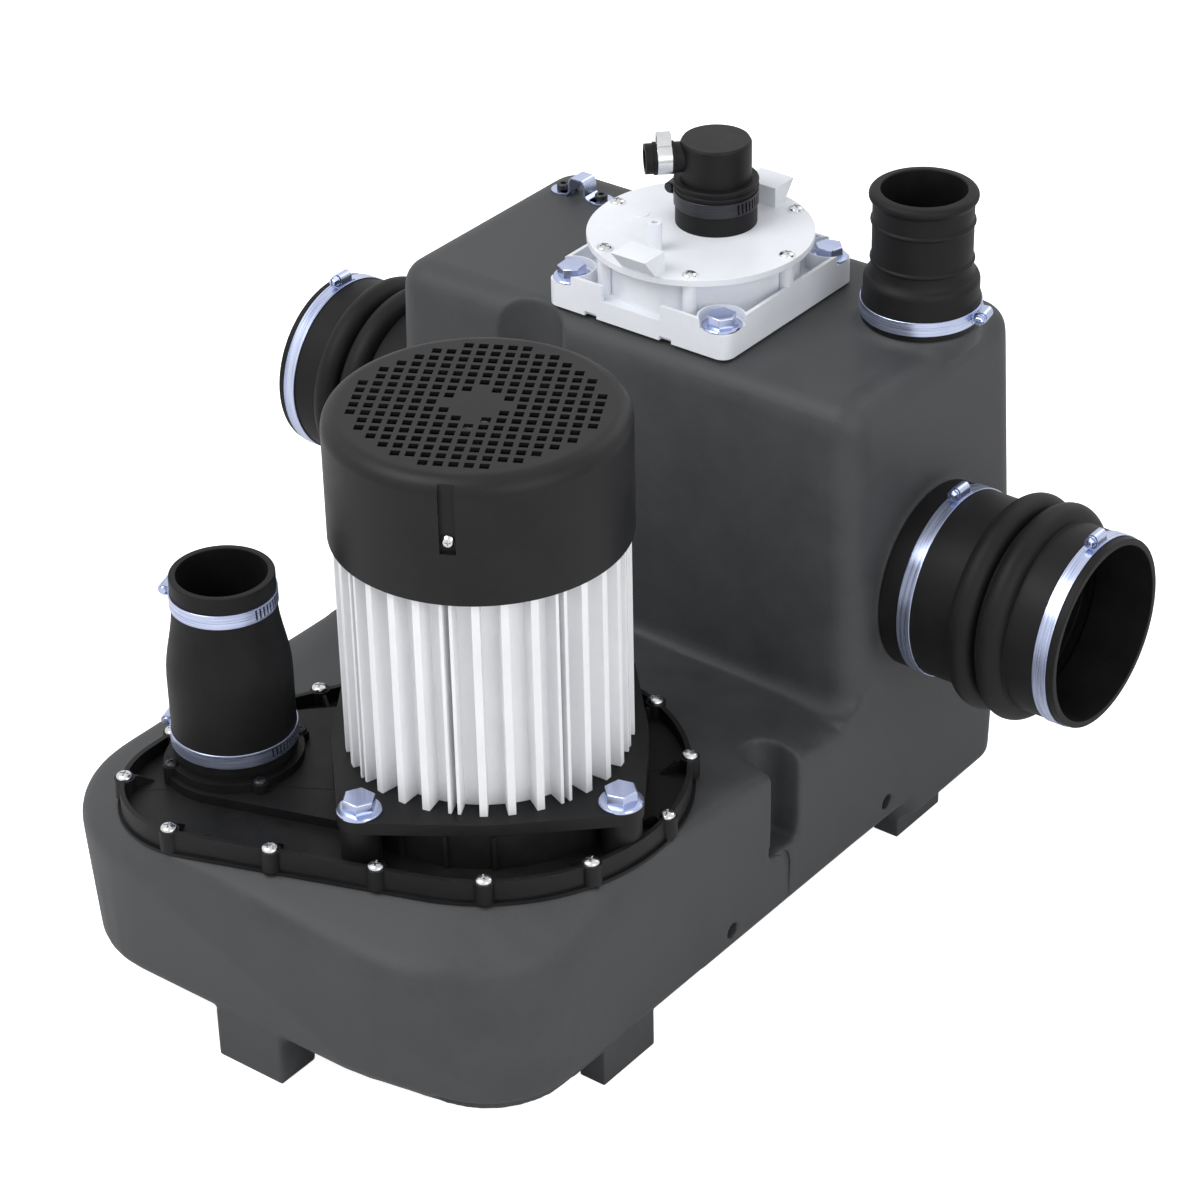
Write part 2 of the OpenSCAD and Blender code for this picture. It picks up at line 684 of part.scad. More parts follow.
module tie_studs() {
    color(zinc()) for (p = stud_places()) translate([p[0], p[1], plate_low + 2])
        cylinder(r = stud_r, h = shield_z + 2 - plate_low);
}

module stator() {
    color("#8a6a4a") translate([0, 0, stator_z]) {
        pipe(stator_r, stator_in_r, stator_tall);
        translate([0, 0, -14]) pipe(stator_r - 5, stator_in_r + 6, 14);
        translate([0, 0, stator_tall]) pipe(stator_r - 5, stator_in_r + 6, 14);
    }
}

module lower_bearing() {
    color(steel()) translate([0, 0, seat_z + 2]) pipe(bearing_r - 0.02, shaft_r + run_gap, bearing_t);
}

module upper_bearing() {
    color(steel()) translate([0, 0, shield_z - bearing_t + 3]) pipe(upper_bearing_r - 0.02, upper_shaft_r + run_gap, bearing_t - 3);
}

module end_shield() {
    color(steel()) difference() {
        union() {
            translate([0, 0, shield_z]) cylinder(r = barrel_r - 1.3, h = 5, $fn = 96);
            translate([0, 0, shield_z - bearing_t + 1]) cylinder(r = upper_bearing_r + 5, h = bearing_t);
        }
        translate([0, 0, shield_z - bearing_t]) cylinder(r = upper_bearing_r, h = bearing_t);
        translate([0, 0, shield_z - 20]) cylinder(r = upper_shaft_r + 1.5, h = 60);
        for (p = stud_places()) translate([p[0], p[1], shield_z - 1]) cylinder(r = stud_r + shank_gap, h = 20);
    }
}

module shaft_seal() {
    color(steel()) translate([0, 0, cover_z]) pipe(seal_r - 0.02, shaft_r + run_gap, 17);
}

module fan_cover() {
    color(black()) difference() {
        union() {
            difference() {
                union() {
                    translate([0, 0, cowl_z]) cylinder(r = cowl_r, h = cowl_tall - cowl_round, $fn = 96);
                    translate([0, 0, cowl_top - cowl_round]) rotate_extrude($fn = 96) {
                        square([cowl_r - cowl_round, cowl_round]);
                        intersection() {
                            translate([cowl_r - cowl_round, 0]) circle(cowl_round);
                            square([cowl_r + 1, cowl_round + 1]);
                        }
                    }
                }
                translate([0, 0, cowl_z - 1]) cylinder(r = cowl_r - cowl_wall, h = cowl_tall + 1 - cowl_round, $fn = 96);
                translate([0, 0, cowl_z]) cylinder(r = cowl_r - cowl_round - 1, h = cowl_tall - cowl_wall, $fn = 96);
            }
            for (a = cowl_screw_turns()) rotate(a) translate([cowl_r - 9, -7, cowl_z + cowl_screw_z - 10])
                cube([7.5, 14, cowl_tall - cowl_screw_z + 10 - cowl_round + 1]);
        }
        rotate(grille_turn) for (i = [-grille_n : grille_n], j = [-grille_n : grille_n])
            if (norm([i, j]) * grille_pitch < grille_in_r && norm([i, j]) > 2.1)
                translate([i * grille_pitch - grille_hole / 2, j * grille_pitch - grille_hole / 2, cowl_top - 5])
                    cube([grille_hole, grille_hole, 8]);
        for (a = cowl_screw_turns()) rotate(a) {
            translate([cowl_r - 3, -4.5, cowl_z + cowl_screw_z - 7]) cube([6, 9, 60]);
            translate([cowl_r - 10, 0, cowl_z + cowl_screw_z]) rotate([0, 90, 0]) cylinder(r = 2 + shank_gap, h = 20);
        }
    }
}

module fan_cover_screws() {
    color(steel()) for (a = cowl_screw_turns()) rotate(a) translate([cowl_r - 3, 0, cowl_z + cowl_screw_z])
        rotate([0, 90, 0]) pan_screw(2, 5.5);
}

module discharge_flange() {
    color(black()) difference() {
        union() {
            translate([0, 0, drum_z]) flange_form(flange_t);
            translate([out_x, out_y, drum_z]) cylinder(r = flange_r - 4.5, h = out_foot_z - drum_z - 0.3);
            translate([out_x, out_y, drum_z]) cylinder(r = spigot_out_r, h = spigot_top - drum_z);
        }
        translate([out_x, out_y, flap_z]) cylinder(r = spigot_in_r, h = 60);
        translate([out_x, out_y, drum_z - 1]) cylinder(r = out_hole_r, h = 60);
        for (p = flange_places()) translate([p[0], p[1], drum_z - 1]) cylinder(r = flange_screw_r + shank_gap, h = 20);
        translate([out_x, flap_pin_y, pin_z]) rotate([0, 90, 0])
            cylinder(r = flap_pin_r + shank_gap, h = 2 * pin_half, center = true);
    }
}

module flange_screws() {
    color("#3a3a3c") for (p = flange_places()) translate([p[0], p[1], drum_z + flange_t]) pan_screw(flange_screw_r, 11);
}

module flap_pin() {
    color(steel()) translate([out_x, flap_pin_y, pin_z]) rotate([0, 90, 0])
        cylinder(r = flap_pin_r, h = 2 * pin_half - 0.4, center = true);
}

module valve_flap() {
    color(black()) difference() {
        union() {
            translate([out_x, out_y, flap_z + 0.3]) cylinder(r = flap_r, h = flap_t);
            translate([out_x, flap_pin_y, pin_z]) rotate([0, 90, 0]) cylinder(r = 2.6, h = 16, center = true);
        }
        translate([out_x, flap_pin_y, pin_z]) rotate([0, 90, 0]) cylinder(r = flap_pin_r + run_gap, h = 40, center = true);
    }
}

// Bottle-shaped rubber coupling of the discharge: its shoulder follows half a cosine wave
function shoulder(r1, r2, z1, z2) = [for (t = [0 : 0.125 : 1]) [r1 + (r2 - r1) * (1 - cos(180 * t)) / 2, z1 + (z2 - z1) * t]];
module discharge_coupling() {
    color(black()) translate([out_x, out_y, 0]) rotate_extrude($fn = 72) difference() {
        polygon(concat([[0, out_foot_z], [out_low_r, out_foot_z]],
            shoulder(out_low_r, out_neck_r, out_top - 66, out_top - 20), [[out_neck_r, out_top], [0, out_top]]));
        polygon([[0, out_foot_z - 1], [out_low_r - side_rubber, out_foot_z - 1], [out_low_r - side_rubber, out_top - 60],
            [out_bore_r, out_top - 38], [out_bore_r, out_top + 1], [0, out_top + 1]]);
    }
}

module discharge_upper_band() { color(zinc()) at_out(out_top - 19.5) clamp_band(out_neck_r); }
module discharge_lower_band() { color(zinc()) at_out(out_foot_z + 7) clamp_band(out_low_r); }
module discharge_upper_worm() { color(zinc()) at_out(out_top - 19.5) clamp_worm(out_neck_r); }
module discharge_lower_worm() { color(zinc()) at_out(out_foot_z + 7) clamp_worm(out_low_r); }

// Rubber sleeve with two round folds, standing on z = 0
module bellows() {
    rotate_extrude($fn = 96) {
        difference() {
            union() {
                translate([side_bore_r, 0]) square([side_rubber, sleeve_len]);
                for (i = [0, 1]) translate([side_out_r, fold_start + i * fold_pitch]) circle(fold_rise);
            }
            for (i = [0, 1]) translate([side_out_r, fold_start + i * fold_pitch]) circle(fold_rise - side_rubber + 0.4);
            for (i = [0, 1]) translate([side_bore_r - 8, fold_start - 3 + i * fold_pitch]) square([12, 6]);
            translate([0, -20]) square([side_bore_r, sleeve_len + 60]);
        }
    }
}

module right_coupling() {
    color(black()) translate([tank_right + 1, side_y, side_z]) rotate([0, 90, 0]) bellows();
}

module left_coupling() {
    color(black()) translate([tank_left - 1, side_y, side_z]) rotate([0, -90, 0]) bellows();
}

module right_inner_band() { color(zinc()) at_right(tank_right + 14.5) clamp_band(side_out_r); }
module right_outer_band() { color(zinc()) at_right(tank_right + side_reach - 14) clamp_band(side_out_r); }
module left_inner_band() { color(zinc()) at_left(tank_left - 14.5) clamp_band(side_out_r); }
module left_outer_band() { color(zinc()) at_left(tank_left - side_reach + 14) clamp_band(side_out_r); }
module right_inner_worm() { color(zinc()) at_right(tank_right + 14.5) clamp_worm(side_out_r); }
module right_outer_worm() { color(zinc()) at_right(tank_right + side_reach - 14) clamp_worm(side_out_r); }
module left_inner_worm() { color(zinc()) at_left(tank_left - 14.5) clamp_worm(side_out_r); }
module left_outer_worm() { color(zinc()) at_left(tank_left - side_reach + 14) clamp_worm(side_out_r); }

// Ribbed rubber coupling of the top inlet
module inlet_coupling() {
    color(black()) translate([top_x, top_y, top_foot_z]) rotate_extrude($fn = 72) difference() {
        union() {
            polygon(concat([[0, 0], [top_low_r, 0], [top_low_r, 15], [top_low_r - 2.6, 17]], shoulder(top_low_r - 2.8, top_neck_r, 29, 40),
                [[top_neck_r, top_tall], [0, top_tall]]));
            for (z = [44.5, 68]) translate([top_neck_r, z]) circle(1, $fn = 24);
            translate([0, top_tall - 6.5]) square([top_neck_r + 2, 6.5]);
        }
        polygon([[0, -1], [top_low_r - side_rubber, -1], [top_low_r - side_rubber, 22], [top_bore_r, 36],
            [top_bore_r, top_tall + 1], [0, top_tall + 1]]);
    }
}

module inlet_band() { color(zinc()) at_top(top_foot_z + 4) clamp_band(top_low_r); }
module inlet_worm() { color(zinc()) at_top(top_foot_z + 4) clamp_worm(top_low_r); }

module level_gasket() {
    color(black()) translate([level_x, level_y, box_top]) difference() {
        translate([-base_side / 2 + 3, -base_side / 2 + 3, 0]) cube([base_side - 6, base_side - 6, level_gap]);
        translate([0, 0, -1]) cylinder(r = level_hole_r, h = 6);
        for (p = base_bolt_places()) translate([p[0] - level_x, p[1] - level_y, -1])
            cylinder(r = base_bolt_r + shank_gap, h = 6);
    }
}

module level_base() {
    half = base_side / 2;
    color(white()) translate([level_x, level_y, base_z]) difference() {
        union() {
            linear_extrude(4) round_square(-half, -half, half, half, 8);
            linear_extrude(base_tall) difference() {
                round_square(-half, -half, half, half, 8);
                round_square(2.5 - half, 2.5 - half, half - 2.5, half - 2.5, 5.5);
            }
            linear_extrude(base_floor) difference() {
                round_square(1 - half, 1 - half, half - 1, half - 1, 7);
                circle(drum_r - 1.2);
            }
            pipe(drum_r, drum_r - 2.5, lid_top - lid_t - base_z);
            for (a = [0 : 60 : 300]) rotate(a) translate([lid_circle, 0, 0])
                cylinder(r = lid_post_r, h = lid_top - lid_t - base_z);
            for (x = [-1, 1], y = [-1, 1]) intersection() {
                translate([x * base_bolt_half, y * base_bolt_half, 0]) cylinder(r = pocket_r + 2.2, h = base_tall);
                linear_extrude(base_tall) round_square(0.6 - half, 0.6 - half, half - 0.6, half - 0.6, 7.4);
            }
        }
        for (x = [-1, 1], y = [-1, 1]) translate([x * base_bolt_half, y * base_bolt_half, 0]) {
            translate([0, 0, pocket_z]) linear_extrude(40) {
                circle(pocket_r);
                rotate(atan2(y, x)) translate([0, 1 - pocket_r]) square([40, 2 * pocket_r - 2]);
            }
            translate([0, 0, -1]) cylinder(r = base_bolt_r + shank_gap, h = 40);
        }
        translate([-25, -half - 1, base_floor + 1]) cube([44, 9, 40]);
        for (x = [-38, 18]) translate([x, -half - 1, -1]) cube([9, 4, 4]);
        translate([0, vent_shift, -1]) cylinder(r = 14, h = 8);
        translate([0, tube_shift, -1]) cylinder(r = tube_r - 4, h = 8);
        for (a = [0 : 60 : 300]) rotate(a) translate([lid_circle, 0, 6]) cylinder(r = lid_screw_r + shank_gap, h = 60);
    }
}

module level_bolts() {
    color(zinc()) for (p = base_bolt_places()) translate([p[0], p[1], base_z + pocket_z]) flange_bolt(base_bolt_r, 27);
}

module level_lid() {
    color(white()) translate([level_x, level_y, lid_top]) difference() {
        union() {
            translate([0, 0, -lid_t]) cylinder(r = lid_r, h = lid_t, $fn = 96);
            translate([0, vent_shift, -1]) cylinder(r = cap_r, h = 11);
            translate([-6, -38.5, -1]) cylinder(r = 4.4, h = 19.5);
            translate([-42, -4, -1]) cylinder(r = 5, h = 1.5);
            for (k = [[-9, -60, -1], [-5, 52, 1]]) translate([k[0], k[1], 0]) rotate([90, 0, 90]) linear_extrude(25)
                polygon([[-2 * k[2], -lid_t / 2], [6 * k[2], -lid_t / 2], [18 * k[2], block_rise], [-2 * k[2], block_rise]]);
        }
        translate([0, vent_shift, -lid_t - 1]) cylinder(r = cap_r - 3, h = 30);
        translate([-6, -38.5, 8]) cylinder(r = 2, h = 20);
        for (a = [0 : 60 : 300]) rotate(a) translate([lid_circle, 0, -20]) cylinder(r = lid_screw_r + shank_gap, h = 40);
    }
}

module lid_screws() {
    color(steel()) translate([level_x, level_y, lid_top]) for (a = [0 : 60 : 300])
        rotate(a) translate([lid_circle, 0, 0]) pan_screw(lid_screw_r, 16);
}

// Tube in which the rising water shuts in air for the pressure switch
module dip_tube() {
    color(black()) translate([level_x, level_y + tube_shift, tube_low]) pipe(tube_r, tube_r - 2.5, base_z - tube_low);
}

module pressure_switch() {
    color(black()) translate([level_x, level_y + tube_shift, base_z + 4]) {
        cylinder(r = tube_r + 2, h = 16);
        translate([0, 0, 16]) cylinder(r = tube_r - 6, h = 8);
        for (x = [-9, 0, 9]) translate([x - 3, -0.4, 24]) cube([6, 0.8, 7]);
    }
}

module vent_sleeve() {
    color(black()) translate([level_x, vent_y, lid_top]) difference() {
        union() {
            cylinder(r = sleeve_r, h = sleeve_tall);
            for (z = [sleeve_tall - 5, sleeve_tall - 1.2]) translate([0, 0, z])
                rotate_extrude() translate([sleeve_r - 0.2, 0]) circle(1.2, $fn = 24);
        }
        translate([0, 0, -1]) cylinder(r = cap_r + shank_gap, h = 60);
    }
}

module sleeve_band() { color("#3c3c3f") at_vent(lid_top + 12.5) clamp_band(sleeve_r); }
module sleeve_worm() { color("#3c3c3f") at_vent(lid_top + 12.5) clamp_worm(sleeve_r); }

// Closed vent cap with its side nozzle
module vent_elbow() {
    color(black()) translate([level_x, vent_y, 0]) difference() {
        union() {
            translate([0, 0, lid_top + 10.3]) cylinder(r = cap_r, h = vent_z - lid_top - 10.3 - 2);
            translate([0, 0, vent_z - 2]) cylinder(r1 = cap_r, r2 = cap_r - 1.2, h = 2);
            translate([0, 0, nozzle_z]) rotate([0, 90, nozzle_turn])
                cylinder(r = nozzle_pipe_r, h = nozzle_in);
        }
        translate([0, 0, lid_top]) cylinder(r = cap_r - 3, h = vent_z - lid_top - 3);
        translate([0, 0, nozzle_z]) rotate([0, 90, nozzle_turn]) cylinder(r = nozzle_pipe_r - 1.6, h = 60);
    }
}

// Short rubber hose end on the vent's nozzle
module vent_hose() {
    color(black()) translate([level_x, vent_y, nozzle_z]) rotate([0, 90, nozzle_turn]) difference() {
        union() {
            cylinder(r = hose_r, h = nozzle_reach);
            for (x = [25.5, 36.7]) translate([0, 0, x]) cylinder(r = hose_r + 0.8, h = 1.6);
        }
        cylinder(r = nozzle_pipe_r + shank_gap, h = 90);
        translate([0, 0, nozzle_in + 1]) cylinder(r = nozzle_bore_r, h = 60);
        vent_room();
    }
}

// Space that the vent cap takes, seen from the nozzle's axis
module vent_room() {
    rotate([0, -90, 0]) cylinder(r = cap_r + 0.2, h = 80, center = true);
}

module hose_clip() {
    color(steel()) translate([level_x, vent_y, nozzle_z]) rotate([0, 90, nozzle_turn]) translate([0, 0, 27.4]) difference() {
        union() {
            cylinder(r = hose_r + 0.8, h = band_w);
            translate([-hose_r - 6.5, -3.5, 0]) cube([8, 7, band_w]);
        }
        translate([0, 0, -1]) cylinder(r = hose_r + band_gap, h = band_w + 2);
        translate([-hose_r - 5.7, -2.7, -1]) cube([4.9, 5.4, band_w + 2]);
    }
}

// Bent strip that holds a cable on the tank's top
module cable_bracket() {
    a = bracket_places()[0];
    b = bracket_places()[1];
    mid = (a[0] + b[0]) / 2;
    color(zinc()) translate([0, 0, box_top]) difference() {
        union() {
            for (p = [a, b]) translate([p[0], p[1], 0]) cylinder(r = 8, h = bracket_t);
            translate([a[0], a[1] - 6, 0]) cube([b[0] - a[0], 13, bracket_t]);
            translate([mid, a[1] + 7, 5.5]) rotate([90, 0, 0]) cylinder(r = 7, h = 13);
            translate([mid - 7, a[1] - 6, 0]) cube([14, 13, 5.5]);
        }
        translate([mid, a[1] + 8, 5.5]) rotate([90, 0, 0]) cylinder(r = 7 - bracket_t, h = 15);
        translate([mid - 7 + bracket_t, a[1] - 7, -3]) cube([14 - 2 * bracket_t, 15, 8.5]);
        for (p = [a, b]) translate([p[0], p[1], -1]) cylinder(r = bracket_bolt_r + shank_gap, h = 5);
    }
}

module bracket_nuts() {
    color("#6a6a70") for (p = bracket_places()) translate([p[0], p[1], box_top + bracket_t]) {
        cylinder(r = bracket_bolt_r, h = 8);
        cylinder(r = 5.6, h = 5, $fn = 6);
        translate([0, 0, -12]) cylinder(r = bracket_bolt_r, h = 13);
    }
}

module shaft() {
    color(steel()) {
        translate([0, 0, shaft_low]) cylinder(r = shaft_r, h = shield_z - bearing_t - shaft_low);
        translate([0, 0, shield_z - bearing_t]) cylinder(r = upper_shaft_r, h = shaft_top - shield_z + bearing_t);
    }
}

module rotor() {
    color(steel()) translate([0, 0, stator_z]) pipe(rotor_r, shaft_r + 0.02, stator_tall);
}

module cooling_fan() {
    color(black()) translate([0, 0, fan_z]) difference() {
        union() {
            cylinder(r = 15, h = 20);
            cylinder(r = cowl_r - 18, h = 2.5);
            for (a = [0 : 45 : 315]) rotate(a) translate([14, -1.2, 0]) cube([cowl_r - 34, 2.4, 26]);
        }
        translate([0, 0, -1]) cylinder(r = upper_shaft_r + 0.02, h = 60);
    }
}

module impeller() {
    color(black()) translate([0, 0, volute_z + 10]) difference() {
        union() {
            translate([0, 0, 20]) cylinder(r = impeller_r, h = 4);
            cylinder(r = shaft_r + 5, h = 28);
            for (a = [0 : 60 : 300]) rotate(a) translate([shaft_r + 3, -2, 0]) rotate(-12)
                cube([impeller_r - shaft_r - 4, 4, 21]);
        }
        translate([0, 0, -1]) cylinder(r = shaft_r + 0.02, h = 60);
    }
}

// Steel cutter that turns under the cutting ring
module cutter() {
    color(steel()) translate([0, 0, shaft_low]) difference() {
        union() {
            cylinder(r = shaft_r + 5, h = volute_z - cutter_t - 0.4 - shaft_low);
            for (a = [0, 120, 240]) rotate(a) translate([0, -5, 3]) cube([eye_r + 2, 10, volute_z - cutter_t - 3.4 - shaft_low]);
        }
        translate([0, 0, -1]) cylinder(r = shaft_r + 0.02, h = 60);
    }
}

tank();
cover_gasket();
pump_cover();
cover_screws();
volute();
volute_screws();
cutter_plate();
motor_plate();
motor_bolts();
motor_housing();
tie_studs();
stator();
lower_bearing();
upper_bearing();
end_shield();
shaft_seal();
fan_cover();
fan_cover_screws();
discharge_flange();
flange_screws();
flap_pin();
discharge_coupling();
discharge_upper_band();
discharge_lower_band();
right_coupling();
left_coupling();
right_inner_band();
right_outer_band();
left_inner_band();
left_outer_band();
inlet_coupling();
inlet_band();
level_base();
level_gasket();
level_bolts();
level_lid();
lid_screws();
dip_tube();
pressure_switch();
vent_sleeve();
sleeve_band();
vent_elbow();
vent_hose();
hose_clip();
cable_bracket();
bracket_nuts();
shaft();
rotor();
cooling_fan();
impeller();
cutter();
valve_flap();
discharge_upper_worm();
discharge_lower_worm();
right_inner_worm();
right_outer_worm();
left_inner_worm();
left_outer_worm();
inlet_worm();
sleeve_worm();
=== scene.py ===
import bpy
import bmesh
import json
import math
from mathutils import Matrix, Vector, geometry


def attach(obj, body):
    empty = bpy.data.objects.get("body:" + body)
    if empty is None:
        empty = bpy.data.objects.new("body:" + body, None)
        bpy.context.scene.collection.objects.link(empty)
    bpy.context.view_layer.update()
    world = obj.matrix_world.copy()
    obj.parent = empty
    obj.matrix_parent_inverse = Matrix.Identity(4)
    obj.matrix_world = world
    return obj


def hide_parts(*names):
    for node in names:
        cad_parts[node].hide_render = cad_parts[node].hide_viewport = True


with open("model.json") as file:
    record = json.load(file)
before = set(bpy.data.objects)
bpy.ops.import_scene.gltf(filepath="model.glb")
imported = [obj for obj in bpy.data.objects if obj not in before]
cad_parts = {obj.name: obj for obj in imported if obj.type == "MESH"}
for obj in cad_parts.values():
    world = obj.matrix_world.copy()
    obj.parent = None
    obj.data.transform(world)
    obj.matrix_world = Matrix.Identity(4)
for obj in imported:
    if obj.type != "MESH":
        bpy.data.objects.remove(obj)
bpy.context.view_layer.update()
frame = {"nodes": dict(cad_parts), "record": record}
nodes = frame["nodes"]
scene = bpy.context.scene
print("frame loaded:", len(nodes), "nodes")

# Camera, light and floor; lengths are in metres unless a name ends in Mm
cameraFit = {
    "heading": 38.05,      # degrees, turn from looking along +Y
    "elevation": 31.72,    # degrees above the horizon
    "roll": -1.25,         # degrees
    "place": (1.14675, -1.35919, 1.37160),
    "lensMm": 110.8,
    "sensorMm": 36,
    "farthest": 30,
}
studio = {
    "worldLight": 0.66,    # strength that reaches the object
    "floorGlow": 0.88,     # white that the camera sees on top of the floor's own
    "floorTone": "#f2f2f2",
    "floorReach": 12,
    "floorDrop": 0.0005,
}
lamps = {
    "keyLamp": {"place": (-0.7, -1.1, 2.2), "target": (0, 0.1, 0.2), "size": 1.6, "power": 30.0},
    "fillLamp": {"place": (1.9, -0.5, 1.1), "target": (0, 0.1, 0.2), "size": 1.4, "power": 12.0},
    "rimLamp": {"place": (0.4, 2.3, 1.9), "target": (0, 0.2, 0.25), "size": 1.4, "power": 7.0},
}


def linear(hexText):
    values = [int(hexText[i:i + 2], 16) / 255 for i in (1, 3, 5)]
    return [v / 12.92 if v <= 0.04045 else ((v + 0.055) / 1.055) ** 2.4 for v in values] + [1.0]


def addNode(tree, kind, settings=None, inputs=None):
    node = tree.nodes.new(kind)
    for key, value in (settings or {}).items():
        setattr(node, key, value)
    for key, value in (inputs or {}).items():
        if isinstance(value, bpy.types.NodeSocket):
            tree.links.new(value, node.inputs[key])
        else:
            node.inputs[key].default_value = value
    return node


def placeCamera():
    heading = math.radians(cameraFit["heading"])
    elevation = math.radians(cameraFit["elevation"])
    roll = math.radians(cameraFit["roll"])
    right = Vector((math.cos(heading), math.sin(heading), 0))
    ahead = Vector((-math.sin(heading) * math.cos(elevation), math.cos(heading) * math.cos(elevation),
                    -math.sin(elevation)))
    up = right.cross(ahead)
    across = right * math.cos(roll) + up * math.sin(roll)
    above = up * math.cos(roll) - right * math.sin(roll)
    turn = Matrix((across, above, -ahead)).transposed()
    camera = bpy.data.objects.new("camera", bpy.data.cameras.new("camera"))
    camera.matrix_world = Matrix.Translation(cameraFit["place"]) @ turn.to_4x4()
    camera.data.sensor_width = cameraFit["sensorMm"]
    camera.data.lens = cameraFit["lensMm"]
    camera.data.clip_end = cameraFit["farthest"]
    scene.collection.objects.link(camera)
    scene.camera = camera


def addLamp(name, place, target, size, power):
    lamp = bpy.data.lights.new(name, "AREA")
    lamp.shape = "DISK"
    lamp.size = size
    lamp.energy = power
    obj = bpy.data.objects.new(name, lamp)
    obj.location = place
    obj.rotation_euler = (Vector(target) - Vector(place)).to_track_quat("-Z", "Y").to_euler()
    scene.collection.objects.link(obj)


def buildWorld():
    # dim for the light on the object, plain white for what the camera sees, mirrored or not
    world = bpy.data.worlds.new("paleStudio")
    scene.world = world
    world.use_nodes = True
    tree = world.node_tree
    tree.nodes.clear()
    path = addNode(tree, "ShaderNodeLightPath")
    seen = addNode(tree, "ShaderNodeMath", {"operation": "MAXIMUM"}, {
        0: path.outputs["Is Camera Ray"], 1: path.outputs["Is Glossy Ray"]})
    seenAll = addNode(tree, "ShaderNodeMath", {"operation": "MAXIMUM"}, {
        0: seen.outputs[0], 1: path.outputs["Is Transmission Ray"]})
    dim = addNode(tree, "ShaderNodeBackground", inputs={
        "Color": (1, 1, 1, 1), "Strength": studio["worldLight"]})
    bright = addNode(tree, "ShaderNodeBackground", inputs={"Color": (1, 1, 1, 1), "Strength": 1.0})
    mix = addNode(tree, "ShaderNodeMixShader", inputs={
        0: seenAll.outputs[0], 1: dim.outputs[0], 2: bright.outputs[0]})
    addNode(tree, "ShaderNodeOutputWorld", inputs={"Surface": mix.outputs[0]})


def buildFloor():
    material = bpy.data.materials.new("paleFloor")
    material.use_nodes = True
    tree = material.node_tree
    tree.nodes.clear()
    path = addNode(tree, "ShaderNodeLightPath")
    glow = addNode(tree, "ShaderNodeMath", {"operation": "MULTIPLY"}, {
        0: path.outputs["Is Camera Ray"], 1: studio["floorGlow"]})
    white = addNode(tree, "ShaderNodeBsdfDiffuse", inputs={"Color": linear(studio["floorTone"])})
    light = addNode(tree, "ShaderNodeEmission", inputs={"Strength": glow.outputs[0]})
    both = addNode(tree, "ShaderNodeAddShader", inputs={0: white.outputs[0], 1: light.outputs[0]})
    addNode(tree, "ShaderNodeOutputMaterial", inputs={"Surface": both.outputs[0]})
    mesh = bpy.data.meshes.new("floor")
    reach = studio["floorReach"]
    corners = [(-reach, -reach), (reach, -reach), (reach, reach), (-reach, reach)]
    mesh.from_pydata([(x, y, -studio["floorDrop"]) for x, y in corners], [], [(0, 1, 2, 3)])
    mesh.materials.append(material)
    floor = bpy.data.objects.new("floor", mesh)
    scene.collection.objects.link(floor)


placeCamera()
buildWorld()
buildFloor()
for lampName, lampLook in lamps.items():
    addLamp(lampName, **lampLook)
scene.view_settings.view_transform = "Standard"
print("camera, light and floor are in place")

# Materials: one builder for moulded and painted surfaces, one for metals
shading = {
    "mouldedTones": (0.36, 0.64),    # noise values of the low and the high tone
    "metalTones": (0.32, 0.68),
    "metalRoughs": (0.3, 0.7),
    "roughSpread": 0.06,
    "grainDepth": 4000,              # bump distance in metres is the grain in millimetres over this
    "brushDepth": 0.0002,
}


def newMaterial(name):
    material = bpy.data.materials.new(name)
    material.use_nodes = True
    return material, material.node_tree, material.node_tree.nodes["Principled BSDF"]


def shadeBy(tree, shader, look, tone, toneEnds, roughEnds, relief, depth):
    # tone sets colour and roughness, relief sets the bump
    ramp = addNode(tree, "ShaderNodeValToRGB", inputs={"Fac": tone})
    for element, position, key in zip(ramp.color_ramp.elements, toneEnds, ("low", "high")):
        element.position = position
        element.color = linear(look[key])
    tree.links.new(ramp.outputs["Color"], shader.inputs["Base Color"])
    rough = addNode(tree, "ShaderNodeMapRange", inputs={
        "Value": tone, "From Min": roughEnds[0], "From Max": roughEnds[1],
        "To Min": look["rough"] - shading["roughSpread"], "To Max": look["rough"] + shading["roughSpread"]})
    tree.links.new(rough.outputs["Result"], shader.inputs["Roughness"])
    bump = addNode(tree, "ShaderNodeBump", inputs={
        "Height": relief, "Strength": look["bump"], "Distance": depth})
    tree.links.new(bump.outputs["Normal"], shader.inputs["Normal"])


def mouldedSurface(name, look):
    # mottling and a fine grain on Object coordinates, so that both keep their real size in metres
    material, tree, shader = newMaterial(name)
    place = addNode(tree, "ShaderNodeTexCoord")
    cloud = addNode(tree, "ShaderNodeTexNoise", inputs={
        "Vector": place.outputs["Object"], "Scale": 1000 / look["cloudMm"], "Detail": 5.0, "Roughness": 0.6})
    grain = addNode(tree, "ShaderNodeTexNoise", inputs={
        "Vector": place.outputs["Object"], "Scale": 1000 / look["grainMm"], "Detail": 3.0, "Roughness": 0.65})
    share = addNode(tree, "ShaderNodeMath", {"operation": "MULTIPLY"}, {
        0: grain.outputs["Fac"], 1: look["grainShare"]})
    blend = addNode(tree, "ShaderNodeMath", {"operation": "MULTIPLY_ADD", "use_clamp": True}, {
        0: cloud.outputs["Fac"], 1: 1 - look["grainShare"], 2: share.outputs[0]})
    shadeBy(tree, shader, look, blend.outputs[0], shading["mouldedTones"], shading["mouldedTones"],
            grain.outputs["Fac"], look["grainMm"] / shading["grainDepth"])
    shader.inputs["IOR"].default_value = look["ior"]
    return material


